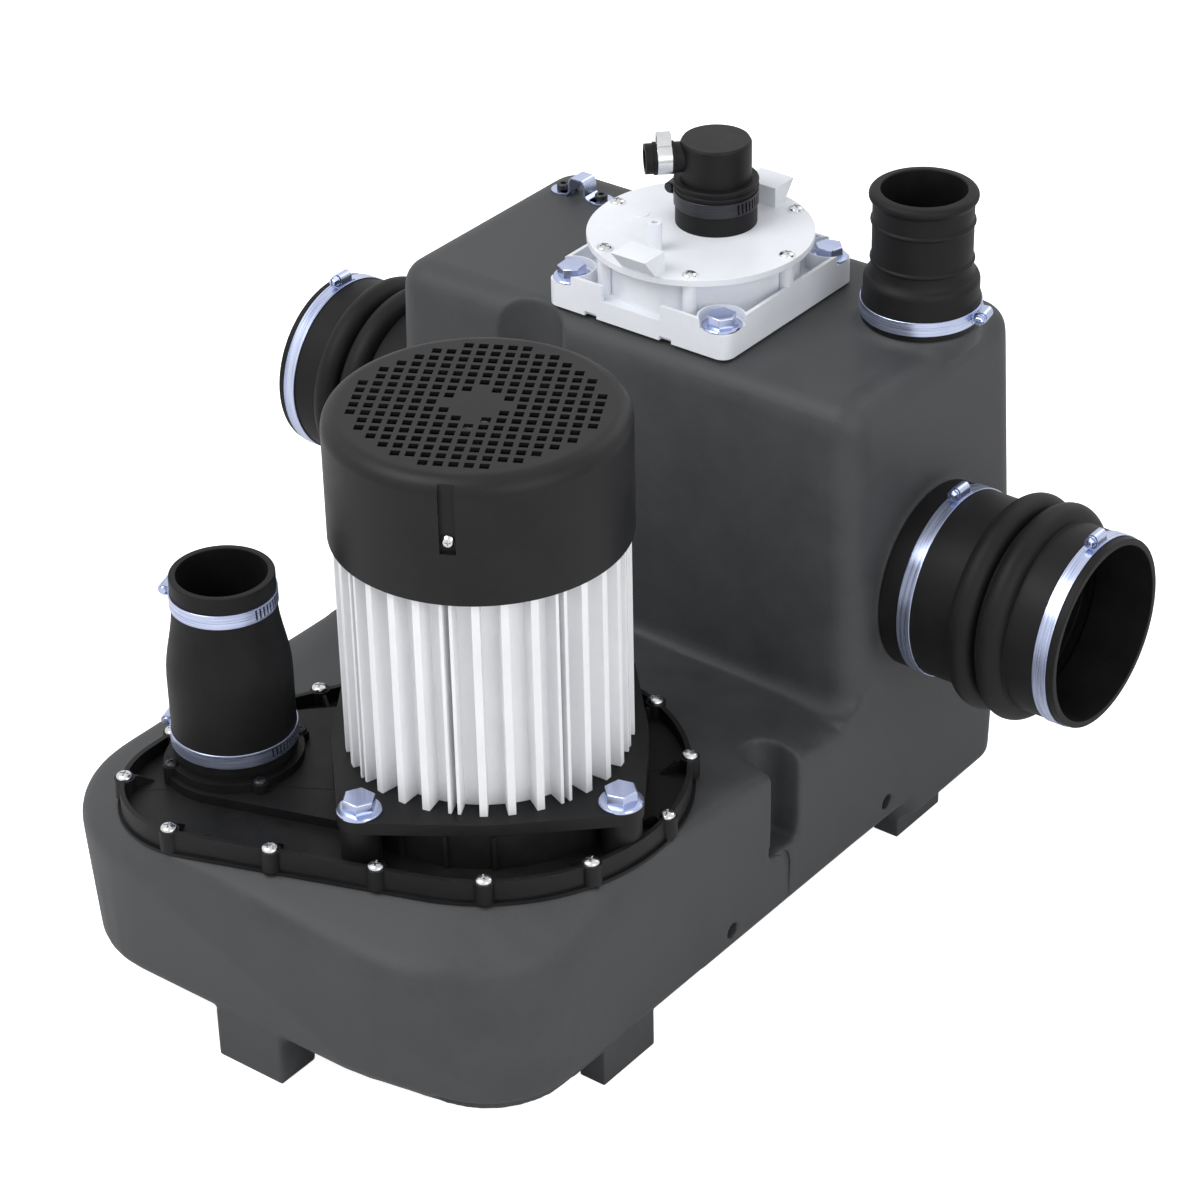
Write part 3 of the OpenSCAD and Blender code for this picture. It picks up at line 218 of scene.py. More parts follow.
def metalSurface(name, look):
    # noise stretched along the way the metal was drawn, turned or cast sets tone, roughness and bump
    material, tree, shader = newMaterial(name)
    place = addNode(tree, "ShaderNodeTexCoord")
    lay = addNode(tree, "ShaderNodeMapping", inputs={
        "Vector": place.outputs["Object"], "Scale": [1000 / size for size in look["brushMm"]]})
    lines = addNode(tree, "ShaderNodeTexNoise", inputs={
        "Vector": lay.outputs["Vector"], "Scale": 1.0, "Detail": 3.0, "Roughness": 0.55})
    shadeBy(tree, shader, look, lines.outputs["Fac"], shading["metalTones"], shading["metalRoughs"],
            lines.outputs["Fac"], shading["brushDepth"])
    shader.inputs["Metallic"].default_value = look["metallic"]
    return material


# Polyethylene, rotationally moulded: matte, a little mottled, with a pebbled skin
tankPolyethylene = mouldedSurface("rotomouldedPolyethylene", {
    "low": "#3a3b3d", "high": "#434446", "rough": 0.56, "cloudMm": 30, "grainMm": 1.6, "grainShare": 0.3,
    "bump": 0.3, "ior": 1.4})
# EPDM rubber, moulded: near black and dull
rubberEpdm = mouldedSurface("epdmRubber", {
    "low": "#111112", "high": "#19191a", "rough": 0.52, "cloudMm": 30, "grainMm": 1.4, "grainShare": 0.3,
    "bump": 0.2, "ior": 1.28})
# Glass-filled polyamide, injection moulded: black with a fine spark texture
coverPolyamide = mouldedSurface("polyamideBlack", {
    "low": "#101011", "high": "#171718", "rough": 0.5, "cloudMm": 22, "grainMm": 1.2, "grainShare": 0.35,
    "bump": 0.25, "ior": 1.32})
# Polypropylene fan cover: smoother than the pump cover
cowlPolypropylene = mouldedSurface("polypropyleneBlack", {
    "low": "#161617", "high": "#1e1e20", "rough": 0.46, "cloudMm": 34, "grainMm": 1.1, "grainShare": 0.35,
    "bump": 0.2, "ior": 1.31})
# ABS, injection moulded: cool white, smooth satin
levelAbs = mouldedSurface("absWhite", {
    "low": "#e4e7ee", "high": "#eceff5", "rough": 0.34, "cloudMm": 40, "grainMm": 1.5, "grainShare": 0.2,
    "bump": 0.05, "ior": 1.45})
# Pressure die-cast aluminium, coated near white: pale, dull and even
castAluminium = mouldedSurface("coatedCastAluminium", {
    "low": "#e8e9ec", "high": "#f1f2f4", "rough": 0.5, "cloudMm": 60, "grainMm": 1.5, "grainShare": 0.2,
    "bump": 0.06, "ior": 1.5})
# Zinc-plated steel strip with a blue passivation: its drawn lines run along the strip
zincStrip = {"low": "#98a4cb", "high": "#d6def5", "rough": 0.3, "bump": 0.12, "metallic": 0.9}
zincStripUpright = metalSurface("zincStripUpright", {**zincStrip, "brushMm": (40, 40, 0.8)})
zincStripLevel = metalSurface("zincStripLevel", {**zincStrip, "brushMm": (0.8, 40, 40)})
# Zinc-plated bolts and pressings: bluish and even
zincSteel = metalSurface("zincPlatedSteel", {
    "low": "#b3bddd", "high": "#c3cce8", "rough": 0.2, "brushMm": (26, 26, 26), "bump": 0.0,
    "metallic": 0.9})
# Stainless steel, turned or pressed: neutral and bright
stainlessSteel = metalSurface("stainlessSteel", {
    "low": "#c9cacc", "high": "#dcdddf", "rough": 0.2, "brushMm": (22, 22, 9), "bump": 0.0,
    "metallic": 1.0})
# Black passivated steel: dark grey with a weak metal sheen
darkSteel = metalSurface("blackPassivatedSteel", {
    "low": "#2c2c30", "high": "#3d3d43", "rough": 0.4, "brushMm": (30, 30, 0.9), "bump": 0.1,
    "metallic": 0.6})
# Enamelled copper winding over laminated iron
copperWinding = metalSurface("enamelledCopper", {
    "low": "#7a4a2a", "high": "#a3683d", "rough": 0.4, "brushMm": (8, 8, 0.7), "bump": 0.4,
    "metallic": 0.6})
print("materials are made")

finishes = {
    tankPolyethylene: ["tank"],
    rubberEpdm: ["cover_gasket", "discharge_coupling", "right_coupling", "left_coupling", "inlet_coupling",
                 "level_gasket", "vent_sleeve", "vent_hose", "valve_flap"],
    coverPolyamide: ["pump_cover", "volute", "motor_plate", "discharge_flange", "dip_tube",
                     "pressure_switch", "vent_elbow", "impeller"],
    cowlPolypropylene: ["fan_cover", "cooling_fan"],
    levelAbs: ["level_base", "level_lid"],
    castAluminium: ["motor_housing", "end_shield"],
    zincStripUpright: ["discharge_upper_band", "discharge_lower_band", "inlet_band"],
    zincStripLevel: ["right_inner_band", "right_outer_band", "left_inner_band", "left_outer_band"],
    zincSteel: ["motor_bolts", "tie_studs", "level_bolts", "cable_bracket", "discharge_upper_worm",
                "discharge_lower_worm", "right_inner_worm", "right_outer_worm", "left_inner_worm",
                "left_outer_worm", "inlet_worm"],
    stainlessSteel: ["cover_screws", "volute_screws", "cutter_plate", "lower_bearing", "upper_bearing",
                     "shaft_seal", "fan_cover_screws", "flap_pin", "lid_screws", "hose_clip", "shaft",
                     "rotor", "cutter"],
    darkSteel: ["flange_screws", "sleeve_band", "sleeve_worm", "bracket_nuts"],
    copperWinding: ["stator"],
}
bodyOf = {name: body for body, names in frame["record"]["behaviour"]["bodies"].items() for name in names}
finishOf = {name: material for material, names in finishes.items() for name in names}
for name, material in finishOf.items():
    nodes[name].data.materials.clear()
    nodes[name].data.materials.append(material)

# Shared ways to make a mesh; sizes are in millimetres, and the welding distances in metres
welding = {"coarse": 0.00001, "fine": 0.000001}


def placed(x, y, z, turnZ=0.0):
    return Matrix.Translation((x, y, z)) @ Matrix.Rotation(math.radians(turnZ), 4, "Z")


def setIn(mesh, place):
    # a mirrored mesh gets its faces turned outwards again
    shift = place.copy()
    shift.translation = place.translation / 1000
    mesh.transform(shift)
    if shift.determinant() < 0:
        mesh.flip_normals()
    return mesh


def addPiece(name, mesh, material, body, *replaced, sharpAngle=32):
    mesh.materials.clear()
    mesh.materials.append(material)
    for face in mesh.polygons:
        face.material_index = 0
    mesh.shade_smooth()
    mesh.set_sharp_from_angle(angle=math.radians(sharpAngle))
    piece = bpy.data.objects.new(name, mesh)
    scene.collection.objects.link(piece)
    even = piece.modifiers.new("evenShading", "WEIGHTED_NORMAL")
    even.keep_sharp = True
    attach(piece, body)
    if replaced:
        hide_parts(*replaced)
    return piece


def helperObject(mesh):
    helper = bpy.data.objects.new("helper", mesh)
    scene.collection.objects.link(helper)
    return helper


def applied(obj):
    # the evaluated object as a plain mesh; the helper object goes
    depsgraph = bpy.context.evaluated_depsgraph_get()
    mesh = bpy.data.meshes.new_from_object(obj.evaluated_get(depsgraph))
    bpy.data.objects.remove(obj)
    return mesh


def mergedCopy(nodeName, flatAngle=0.6):
    # a copy of the node's triangles, joined, with its flat faces made whole
    work = bmesh.new()
    work.from_mesh(nodes[nodeName].data)
    bmesh.ops.remove_doubles(work, verts=work.verts, dist=welding["coarse"])
    if flatAngle:
        bmesh.ops.dissolve_limit(work, angle_limit=math.radians(flatAngle), verts=work.verts,
                                 edges=work.edges, use_dissolve_boundaries=False)
    mesh = bpy.data.meshes.new(nodeName + "Copy")
    work.to_mesh(mesh)
    work.free()
    return mesh


def roundEdges(mesh, edgeMm, segments=2, sharpAngle=40):
    helper = helperObject(mesh)
    bevel = helper.modifiers.new("edges", "BEVEL")
    bevel.width = edgeMm / 1000
    bevel.segments = segments
    bevel.limit_method = "ANGLE"
    bevel.angle_limit = math.radians(sharpAngle)
    bevel.use_clamp_overlap = True
    return applied(helper)


def joined(name, meshes):
    work = bmesh.new()
    for mesh in meshes:
        work.from_mesh(mesh)
    mesh = bpy.data.meshes.new(name)
    work.to_mesh(mesh)
    work.free()
    return mesh


def cutFrom(mesh, cutters):
    body = helperObject(mesh)
    tool = helperObject(joined("cutters", cutters))
    cut = body.modifiers.new("cut", "BOOLEAN")
    cut.operation = "DIFFERENCE"
    cut.solver = "EXACT"
    cut.object = tool
    mesh = applied(body)
    bpy.data.objects.remove(tool)
    return mesh


def meshOf(name, points, faces, place=None):
    # a closed mesh with its faces outwards
    mesh = bpy.data.meshes.new(name)
    mesh.from_pydata([Vector(p) / 1000 for p in points], [], faces)
    if place:
        setIn(mesh, place)
    work = bmesh.new()
    work.from_mesh(mesh)
    bmesh.ops.remove_doubles(work, verts=work.verts, dist=welding["fine"])
    bmesh.ops.recalc_face_normals(work, faces=work.faces)
    work.to_mesh(mesh)
    work.free()
    return mesh


def turned(name, outline, steps=96, closed=True, place=None):
    # outline of (radius, height): a closed one is a ring's section, an open one starts and ends on the axis
    count = len(outline)
    points = []
    faces = []
    for step in range(steps):
        angle = 2 * math.pi * step / steps
        points += [(r * math.cos(angle), r * math.sin(angle), z) for r, z in outline]
        after = (step + 1) % steps
        for k in range(count if closed else count - 1):
            n = (k + 1) % count
            faces.append((step * count + k, after * count + k, after * count + n, step * count + n))
    return meshOf(name, points, faces, place)


def rod(name, radius, low, high, steps=96, place=None):
    return turned(name, [(0, low), (radius, low), (radius, high), (0, high)], steps, False, place)


def lofted(name, rings, place=None):
    # walls from ring to ring, all with one count of points, and a face on each end
    count = len(rings[0])
    last = count * (len(rings) - 1)
    faces = [tuple(range(count)), tuple(range(last, last + count))]
    faces += [(start + k, start + (k + 1) % count, start + count + (k + 1) % count, start + count + k)
              for start in range(0, last, count) for k in range(count)]
    return meshOf(name, [point for ring in rings for point in ring], faces, place)


def prism(name, outline, low, high, place=None):
    return lofted(name, [[(x, y, z) for x, y in outline] for z in (low, high)], place)


def bentStrip(name, outer, inner, low, high):
    # a strip between two lines in x and z, the second one drawn backwards, that reaches from low to high in y
    ring = outer + inner
    count = len(ring)
    points = [(x, y, z) for y in (low, high) for x, z in ring]
    faces = [(k, (k + 1) % count, count + (k + 1) % count, count + k) for k in range(count)]
    faces += [(end + k, end + k + 1, end + count - 2 - k, end + count - 1 - k)
              for end in (0, count) for k in range(len(outer) - 1)]
    return meshOf(name, points, faces)


def arc(cx, cy, radius, start, end, steps):
    angles = [math.radians(start + (end - start) * k / steps) for k in range(steps + 1)]
    return [(cx + radius * math.cos(a), cy + radius * math.sin(a)) for a in angles]


def hexagon(radius):
    return [(radius * math.cos(k * math.pi / 3), radius * math.sin(k * math.pi / 3)) for k in range(6)]


def hexHead(name, rings):
    return lofted(name, [[(x, y, z) for x, y in hexagon(radius)] for radius, z in rings])


# Node groups: a part set on each point of a mesh, and slots cut through a strap
def groupTree(name, inputs):
    tree = bpy.data.node_groups.new(name, "GeometryNodeTree")
    for label, kind in inputs:
        tree.interface.new_socket(name=label, in_out="INPUT", socket_type="NodeSocket" + kind)
    tree.interface.new_socket(name="Geometry", in_out="OUTPUT", socket_type="NodeSocketGeometry")
    return tree, addNode(tree, "NodeGroupInput")


def endTree(tree, shape, start):
    finish = addNode(tree, "GeometryNodeSetMaterial", inputs={
        "Geometry": shape, "Material": start.outputs["Finish"]})
    addNode(tree, "NodeGroupOutput", inputs={"Geometry": finish.outputs["Geometry"]})
    return tree


def turnAboutZ(tree, angle):
    spin = addNode(tree, "ShaderNodeCombineXYZ", inputs={"Z": angle})
    asTurn = addNode(tree, "FunctionNodeEulerToRotation", inputs={"Euler": spin.outputs[0]})
    return asTurn.outputs["Rotation"]


def scatterTree():
    # each part turns about Z by its point's own turn and a random one
    tree, start = groupTree("setOnPoints", (
        ("Places", "Geometry"), ("Part", "Object"), ("Part Size", "Float"), ("Turn Spread", "Float"),
        ("Turn Seed", "Int"), ("Finish", "Material")))
    part = addNode(tree, "GeometryNodeObjectInfo", inputs={"Object": start.outputs["Part"]})
    spread = addNode(tree, "ShaderNodeMath", {"operation": "MULTIPLY"}, {
        0: start.outputs["Turn Spread"], 1: math.pi / 180})
    turn = addNode(tree, "FunctionNodeRandomValue", {"data_type": "FLOAT"}, {
        "Max": spread.outputs[0], "Seed": start.outputs["Turn Seed"]})
    own = addNode(tree, "GeometryNodeInputNamedAttribute", {"data_type": "FLOAT"}, {"Name": "turn"})
    both = addNode(tree, "ShaderNodeMath", {"operation": "ADD"}, {0: own.outputs["Attribute"]})
    for socket in turn.outputs:
        if socket.enabled:
            tree.links.new(socket, both.inputs[1])
    onPoints = addNode(tree, "GeometryNodeInstanceOnPoints", inputs={
        "Points": start.outputs["Places"], "Instance": part.outputs["Geometry"],
        "Rotation": turnAboutZ(tree, both.outputs[0]), "Scale": start.outputs["Part Size"]})
    real = addNode(tree, "GeometryNodeRealizeInstances", inputs={"Geometry": onPoints.outputs["Instances"]})
    return endTree(tree, real.outputs["Geometry"], start)


def slotTree():
    # slanted slots along an arc
    tree, start = groupTree("strapSlots", (
        ("Strap", "Geometry"), ("Radius", "Float"), ("Height", "Float"), ("Slots", "Int"),
        ("Start", "Float"), ("Sweep", "Float"), ("Slot Size", "Vector"), ("Slant", "Float"),
        ("Finish", "Material")))
    path = addNode(tree, "GeometryNodeCurveArc", {"mode": "RADIUS"}, {
        "Resolution": start.outputs["Slots"], "Radius": start.outputs["Radius"],
        "Start Angle": start.outputs["Start"], "Sweep Angle": start.outputs["Sweep"]})
    lift = addNode(tree, "ShaderNodeCombineXYZ", inputs={"Z": start.outputs["Height"]})
    raised = addNode(tree, "GeometryNodeTransform", inputs={
        "Geometry": path.outputs["Curve"], "Translation": lift.outputs[0]})
    bar = addNode(tree, "GeometryNodeMeshCube", inputs={"Size": start.outputs["Slot Size"]})
    tilt = addNode(tree, "ShaderNodeCombineXYZ", inputs={"X": start.outputs["Slant"]})
    slanted = addNode(tree, "GeometryNodeTransform", inputs={
        "Geometry": bar.outputs["Mesh"], "Rotation": tilt.outputs[0]})
    where = addNode(tree, "GeometryNodeInputPosition")
    parts = addNode(tree, "ShaderNodeSeparateXYZ", inputs={"Vector": where.outputs[0]})
    angle = addNode(tree, "ShaderNodeMath", {"operation": "ARCTAN2"}, {
        0: parts.outputs["Y"], 1: parts.outputs["X"]})
    cutters = addNode(tree, "GeometryNodeInstanceOnPoints", inputs={
        "Points": raised.outputs["Geometry"], "Instance": slanted.outputs["Geometry"],
        "Rotation": turnAboutZ(tree, angle.outputs[0])})
    real = addNode(tree, "GeometryNodeRealizeInstances", inputs={"Geometry": cutters.outputs["Instances"]})
    cut = addNode(tree, "GeometryNodeMeshBoolean", {"operation": "DIFFERENCE", "solver": "EXACT"}, {
        "Mesh 1": start.outputs["Strap"], "Mesh 2": real.outputs["Geometry"]})
    return endTree(tree, cut.outputs["Mesh"], start)


def setInputs(modifier, tree, values):
    # by the socket's identifier, before the object is first evaluated
    modifier.node_group = tree
    for socket in tree.interface.items_tree:
        if socket.name in values and socket.in_out == "INPUT":
            modifier[socket.identifier] = values[socket.name]


setOnPoints = scatterTree()
strapSlots = slotTree()


def scattered(name, places, partMesh, finish, seed, spread=180.0, turns=None):
    part = helperObject(partMesh)
    mesh = bpy.data.meshes.new(name)
    mesh.from_pydata([Vector(p) / 1000 for p in places], [], [])
    own = mesh.attributes.new("turn", "FLOAT", "POINT")
    own.data.foreach_set("value", turns or [0.0] * len(places))
    holder = helperObject(mesh)
    modifier = holder.modifiers.new("set", "NODES")
    setInputs(modifier, setOnPoints, {
        "Part": part, "Part Size": 1.0, "Turn Spread": spread, "Turn Seed": seed, "Finish": finish})
    result = applied(holder)
    bpy.data.objects.remove(part)
    return result


# Screws and bolts: sizes are shares of the shank's radius, apart from the rim's share of the head's height
screwLook = {
    "headWide": 1.95, "headTall": 1.25, "rim": 0.28, "recessWide": 0.42, "recessLong": 1.15,
    "recessDeep": 0.62,
}
boltLook = {"flangeWide": 2.6, "flangeTall": 0.42, "hexWide": 2.0, "hexTall": 1.9, "chamfer": 0.14}
capLook = {"socketWide": 0.52, "socketLow": 0.4}


def crossScrew(radius):
    # domed pan head with a cross recess
    head = screwLook["headWide"] * radius
    tall = screwLook["headTall"] * radius
    rim = screwLook["rim"] * tall
    domeAngles = [math.radians(a) for a in range(12, 90, 13)]
    dome = [(0, 0), (head, 0), (head, rim)]
    dome += [(head * math.cos(t), rim + (tall - rim) * math.sin(t)) for t in domeAngles] + [(0, tall)]
    half = screwLook["recessWide"] * radius / 2
    reach = screwLook["recessLong"] * radius
    low = tall - screwLook["recessDeep"] * radius
    cross = [(-half, -reach), (half, -reach), (half, -half), (reach, -half), (reach, half), (half, half),
             (half, reach), (-half, reach), (-half, half), (-reach, half), (-reach, -half), (-half, -half)]
    return cutFrom(turned("screwHead", dome, steps=28, closed=False),
                   [prism("recess", cross, low, tall + radius)])


def flangeBolt(radius):
    # hexagon head with a chamfered top on a dished flange
    wide = boltLook["flangeWide"] * radius
    tall = boltLook["flangeTall"] * radius
    hexR = boltLook["hexWide"] * radius
    top = boltLook["hexTall"] * radius
    edge = boltLook["chamfer"] * radius
    outline = [(0, 0), (wide - 0.3, 0), (wide, 0.35), (wide, tall * 0.55), (wide - 0.5, tall * 0.85),
               (hexR * 0.98, tall + 0.6), (0, tall + 0.6)]
    flange = turned("boltFlange", outline, steps=48, closed=False)
    head = hexHead("hexHead", [(hexR, tall), (hexR, top - edge), (hexR - edge * 1.3, top)])
    return joined("flangeBolt", [flange, roundEdges(head, 0.35)])


def socketScrew(radius, tall):
    # cap screw with a hexagon socket
    outline = [(0, 0), (radius - 0.3, 0), (radius, 0.3), (radius, tall - 0.5), (radius - 0.5, tall),
               (0, tall)]
    socket = prism("socket", hexagon(radius * capLook["socketWide"]), tall * capLook["socketLow"], tall + 5)
    return cutFrom(turned("capHead", outline, steps=40, closed=False), [socket])


def headCentres(nodeName, count, level=0):
    # the middle of the box round each of a node's equal solids, at the level of the heads' underside
    work = bmesh.new()
    work.from_mesh(nodes[nodeName].data)
    bmesh.ops.remove_doubles(work, verts=work.verts, dist=welding["coarse"])
    left = set(work.verts)
    centres = []
    while left:
        stack = [left.pop()]
        group = list(stack)
        while stack:
            for edge in stack.pop().link_edges:
                for vert in edge.verts:
                    if vert in left:
                        left.discard(vert)
                        stack.append(vert)
                        group.append(vert)
        xs = [v.co.x * 1000 for v in group]
        ys = [v.co.y * 1000 for v in group]
        centres.append(((min(xs) + max(xs)) / 2, (min(ys) + max(ys)) / 2, level))
    work.free()
    if len(centres) != count:
        raise ValueError(nodeName + " has " + str(len(centres)) + " solids")
    return sorted(centres)


levels = {
    "coverRim": 163.0, "flangeTop": 166.0, "lidTop": 385.0, "motorSeat": 184.0, "basePocket": 359.5,
    "bracketTop": 343.5,
}
for nodeName, count, levelName, part, seed in (
        ("cover_screws", 15, "coverRim", crossScrew(2.5), 4),
        ("flange_screws", 4, "flangeTop", crossScrew(2.0), 7),
        ("lid_screws", 6, "lidTop", crossScrew(2.4), 11),
        ("motor_bolts", 4, "motorSeat", flangeBolt(5.0), 5),
        ("level_bolts", 4, "basePocket", flangeBolt(4.5), 9),
        ("bracket_nuts", 2, "bracketTop", socketScrew(4.2, 3.8), 3)):
    spots = headCentres(nodeName, count, levels[levelName])
    shaped = scattered(nodeName, spots, part, finishOf[nodeName], seed)
    addPiece(nodeName + "Heads", shaped, finishOf[nodeName], bodyOf[nodeName], nodeName, sharpAngle=28)
print("screws and bolts are set")

# Worm-drive clamps: a strap with a slotted stretch, a pressed housing and a screw with a hexagon head
clampLook = {
    "width": 9.0, "strap": 0.8, "gap": 0.05, "soft": 0.2,
    "slots": 8, "slotFrom": 150.0, "slotSweep": 36.0, "slotPipe": 32, "slotDeep": 4.0, "slotLong": 6.6,
    "slotWide": 1.3, "slotSlant": 4.0,
    "houseLong": 10.4, "houseWall": 0.9, "houseRise": 0.35, "houseGap": 0.15, "houseEdge": 0.2,
    "saddleReach": 3.2, "saddleRows": 9, "saddleGap": 0.02, "saddleThick": 0.7, "saddleLow": 1.0,
    "saddleHigh": 8.0, "saddleEdge": 0.15,
}
# lengths along the worm screw are measured from the middle of its housing
wormLook = {
    "radius": 2.4, "gap": 1.3, "depth": 0.5, "turns": 9, "pitch": 1.4, "tail": -6.4, "flange": 1.1,
    "hexWider": 0.6, "hexLow": 7.2, "hexHigh": 10.4, "hexTop": 10.9, "hexEdge": 0.5,
    "slotLong": 4, "slotHalf": 0.5, "slotLow": 9.2, "slotHigh": 12,
}
dischargeSpot = (-129, -77.5)
inletSpot = (84, 317)
sideAxis = (279, 199)


def clampStrap(radius, finish):
    inner = radius + clampLook["gap"]
    outer = inner + clampLook["strap"]
    width = clampLook["width"]
    soft = clampLook["soft"]
    section = [(inner, soft), (inner + soft, 0), (outer - soft, 0), (outer, soft), (outer, width - soft),
               (outer - soft, width), (inner + soft, width), (inner, width - soft)]
    holder = helperObject(turned("strap", section, steps=120))
    modifier = holder.modifiers.new("slots", "NODES")
    setInputs(modifier, strapSlots, {
        "Radius": (inner + outer) / 2000, "Height": width / 2000, "Slots": clampLook["slots"],
        "Start": math.radians(clampLook["slotFrom"]),
        "Sweep": math.radians(clampLook["slotSweep"] * clampLook["slotPipe"] / radius),
        "Slot Size": [clampLook[key] / 1000 for key in ("slotDeep", "slotWide", "slotLong")],
        "Slant": math.radians(clampLook["slotSlant"]), "Finish": finish})
    return applied(holder)


def wormAxis(radius):
    return radius + clampLook["strap"] + wormLook["gap"] + wormLook["radius"]


def clampHousing(radius):
    # an arch over the screw, open at both ends, on a saddle that lies on the strap
    axisX = wormAxis(radius)
    foot = radius + clampLook["gap"] + clampLook["strap"] * 0.6
    mid = clampLook["width"] / 2
    half = clampLook["houseLong"] / 2
    outR = wormLook["radius"] + clampLook["houseWall"] + clampLook["houseRise"]
    inR = wormLook["radius"] + clampLook["houseGap"]
    outer = [(foot, mid - outR)] + arc(axisX, mid, outR, -90, 90, 12) + [(foot, mid + outR)]
    inner = [(foot, mid + inR)] + arc(axisX, mid, inR, 90, -90, 12) + [(foot, mid - inR)]
    arch = bentStrip("housing", outer, inner, -half, half)
    reach = half + clampLook["saddleReach"]
    low, high = clampLook["saddleLow"], clampLook["saddleHigh"]
    rings = []
    for k in range(clampLook["saddleRows"]):
        y = -reach + 2 * reach * k / (clampLook["saddleRows"] - 1)
        base = math.sqrt((radius + clampLook["strap"] + clampLook["saddleGap"]) ** 2 - y * y)
        top = base + clampLook["saddleThick"]
        rings.append([(base, y, low), (top, y, low), (top, y, high), (base, y, high)])
    return joined("clampHousing", [roundEdges(arch, clampLook["houseEdge"]),
                                   roundEdges(lofted("saddle", rings), clampLook["saddleEdge"])])


def clampScrew(radius):
    # threaded body along the screw's axis, a flange and a slotted hexagon head
    crest = wormLook["radius"]
    root = crest - wormLook["depth"]
    flange = crest + wormLook["flange"]
    outline = [(0, wormLook["tail"]), (root, wormLook["tail"])]
    for k in range(wormLook["turns"]):
        rise = wormLook["pitch"] * k
        outline += [(root, -6.2 + rise), (crest, -5.7 + rise), (root, -5.2 + rise)]
    outline += [(root, 6.3), (flange, 6.4), (flange, 7.2), (crest - 0.3, 7.3), (0, 7.3)]
    body = turned("wormBody", outline, steps=28, closed=False)
    hexR = crest + wormLook["hexWider"]
    head = hexHead("wormHead", [(hexR, wormLook["hexLow"]), (hexR, wormLook["hexHigh"]),
                                (hexR - wormLook["hexEdge"], wormLook["hexTop"])])
    long, half = wormLook["slotLong"], wormLook["slotHalf"]
    slot = prism("slot", [(-long, -half), (long, -half), (long, half), (-long, half)],
                 wormLook["slotLow"], wormLook["slotHigh"])
    mesh = joined("clampScrew", [body, cutFrom(head, [slot])])
    centre = Matrix.Translation((wormAxis(radius) / 1000, 0, clampLook["width"] / 2000))
    mesh.transform(centre @ Matrix.Rotation(math.pi / 2, 4, "X"))
    return mesh


# Each clamp: the radius under its band, and the place of the band's lower edge
mirrorY = Matrix.Scale(-1, 4, (0, 1, 0))
levelTurn = Matrix.Rotation(math.pi / 2, 4, "Y") @ Matrix.Rotation(math.pi, 4, "Z") @ mirrorY
downBand = Matrix.Translation((0, 0, -clampLook["width"]))
clamps = {
    "discharge_upper": (30.6, placed(*dischargeSpot, 266.5, -161)),
    "discharge_lower": (36.6, placed(*dischargeSpot, 175.6, -161)),
    "right_inner": (59.2, placed(135.5, *sideAxis) @ levelTurn),
    "right_outer": (59.2, placed(230, *sideAxis) @ levelTurn),
    "left_inner": (59.2, placed(-248.5, *sideAxis) @ levelTurn @ downBand),
    "left_outer": (59.2, placed(-343, *sideAxis) @ levelTurn @ downBand),
    "inlet": (36.0, placed(*inletSpot, 351.3, 12)),
    "sleeve": (25.1, placed(-47, 289, 397.5, -173)),
}
for name, (radius, place) in clamps.items():
    finish = finishOf[name + "_band"]
    band = joined(name + "Band", [clampStrap(radius, finish), clampHousing(radius)])
    addPiece(name + "Clamp", setIn(band, place), finish, "housing", name + "_band")
    addPiece(name + "Screw", setIn(clampScrew(radius), place), finishOf[name + "_worm"], name + "_screw",
             name + "_worm")
print("clamps are made")

# The tank: its whole skin is drawn anew and evened, so that every edge is round as on a rotational moulding
tankLook = {
    "voxelMm": 1.8, "evenPasses": 4, "shoulderPasses": 70, "smooth": 0.5, "keepShare": 0.19,
    "sharpAngle": 60, "hollowLow": 35.0, "middle": (-50.0, 120.0), "drawIn": 0.035,
    "holes": ((120, 78, 1), (120, 243.3, 1), (-220, 92, -1), (-220, 170, -1)),    # x, y and side
    "holeHigh": 46, "holeRadius": 5, "grooves": (116.5, -224.5), "grooveDeep": 8,
}
# Where its shoulders are smoothed: round the nose's top, but not on the scoops, and round the inlet's seat
shoulderLook = {
    "boxFront": 172, "scoopFrom": 104, "scoopTo": 154, "scoopRight": 76, "scoopLeft": -176,
    "noseTop": 146.8, "topFade": 3, "noseFoot": 84, "footFade": 20,
    "seatRadius": 36.6, "seatLow": 318, "seatShare": 0.6, "seatReach": 60, "seatFade": 12,
    "boxTop": 347.2, "boxFade": 2,
}
alongX = Matrix(((0, 0, 1, 0), (1, 0, 0, 0), (0, 1, 0, 0), (0, 0, 0, 1)))


def upTo(value, full):
    # a share: 0 at 0 and below, 1 at full and above
    return min(max(value / full, 0), 1)


def shoulderShare(x, y, z):
    look = shoulderLook
    if y < look["boxFront"]:
        beside = x > look["scoopRight"] or x < look["scoopLeft"]
        if look["scoopFrom"] < y < look["scoopTo"] and beside:
            return 0.0
        return upTo(look["noseTop"] - z, look["topFade"]) * upTo(z - look["noseFoot"], look["footFade"])
    fromInlet = math.hypot(x - inletSpot[0], y - inletSpot[1])
    if fromInlet > look["seatRadius"] and z > look["seatLow"]:
        near = upTo(look["seatReach"] - fromInlet, look["seatFade"])
        return look["seatShare"] * near * upTo(look["boxTop"] - z, look["boxFade"])
    return 0.0


def grooveCutter(x):
    # pipe groove in the side wall: out of the scoop's foot, round a bend and down
    path = [(115, 85), (127, 79), (134, 72), (136.5, 64), (136.5, -1), (131.5, -1), (131.5, 63), (126, 73),
            (115, 80)]
    return prism("groove", path, x, x + tankLook["grooveDeep"], alongX)


def holeCutter(x, y, side):
    place = Matrix.Translation((x, y, tankLook["holeHigh"])) @ Matrix.Rotation(side * math.pi / 2, 4, "Y")
    return rod("hole", tankLook["holeRadius"], -20, 10, 32, place)


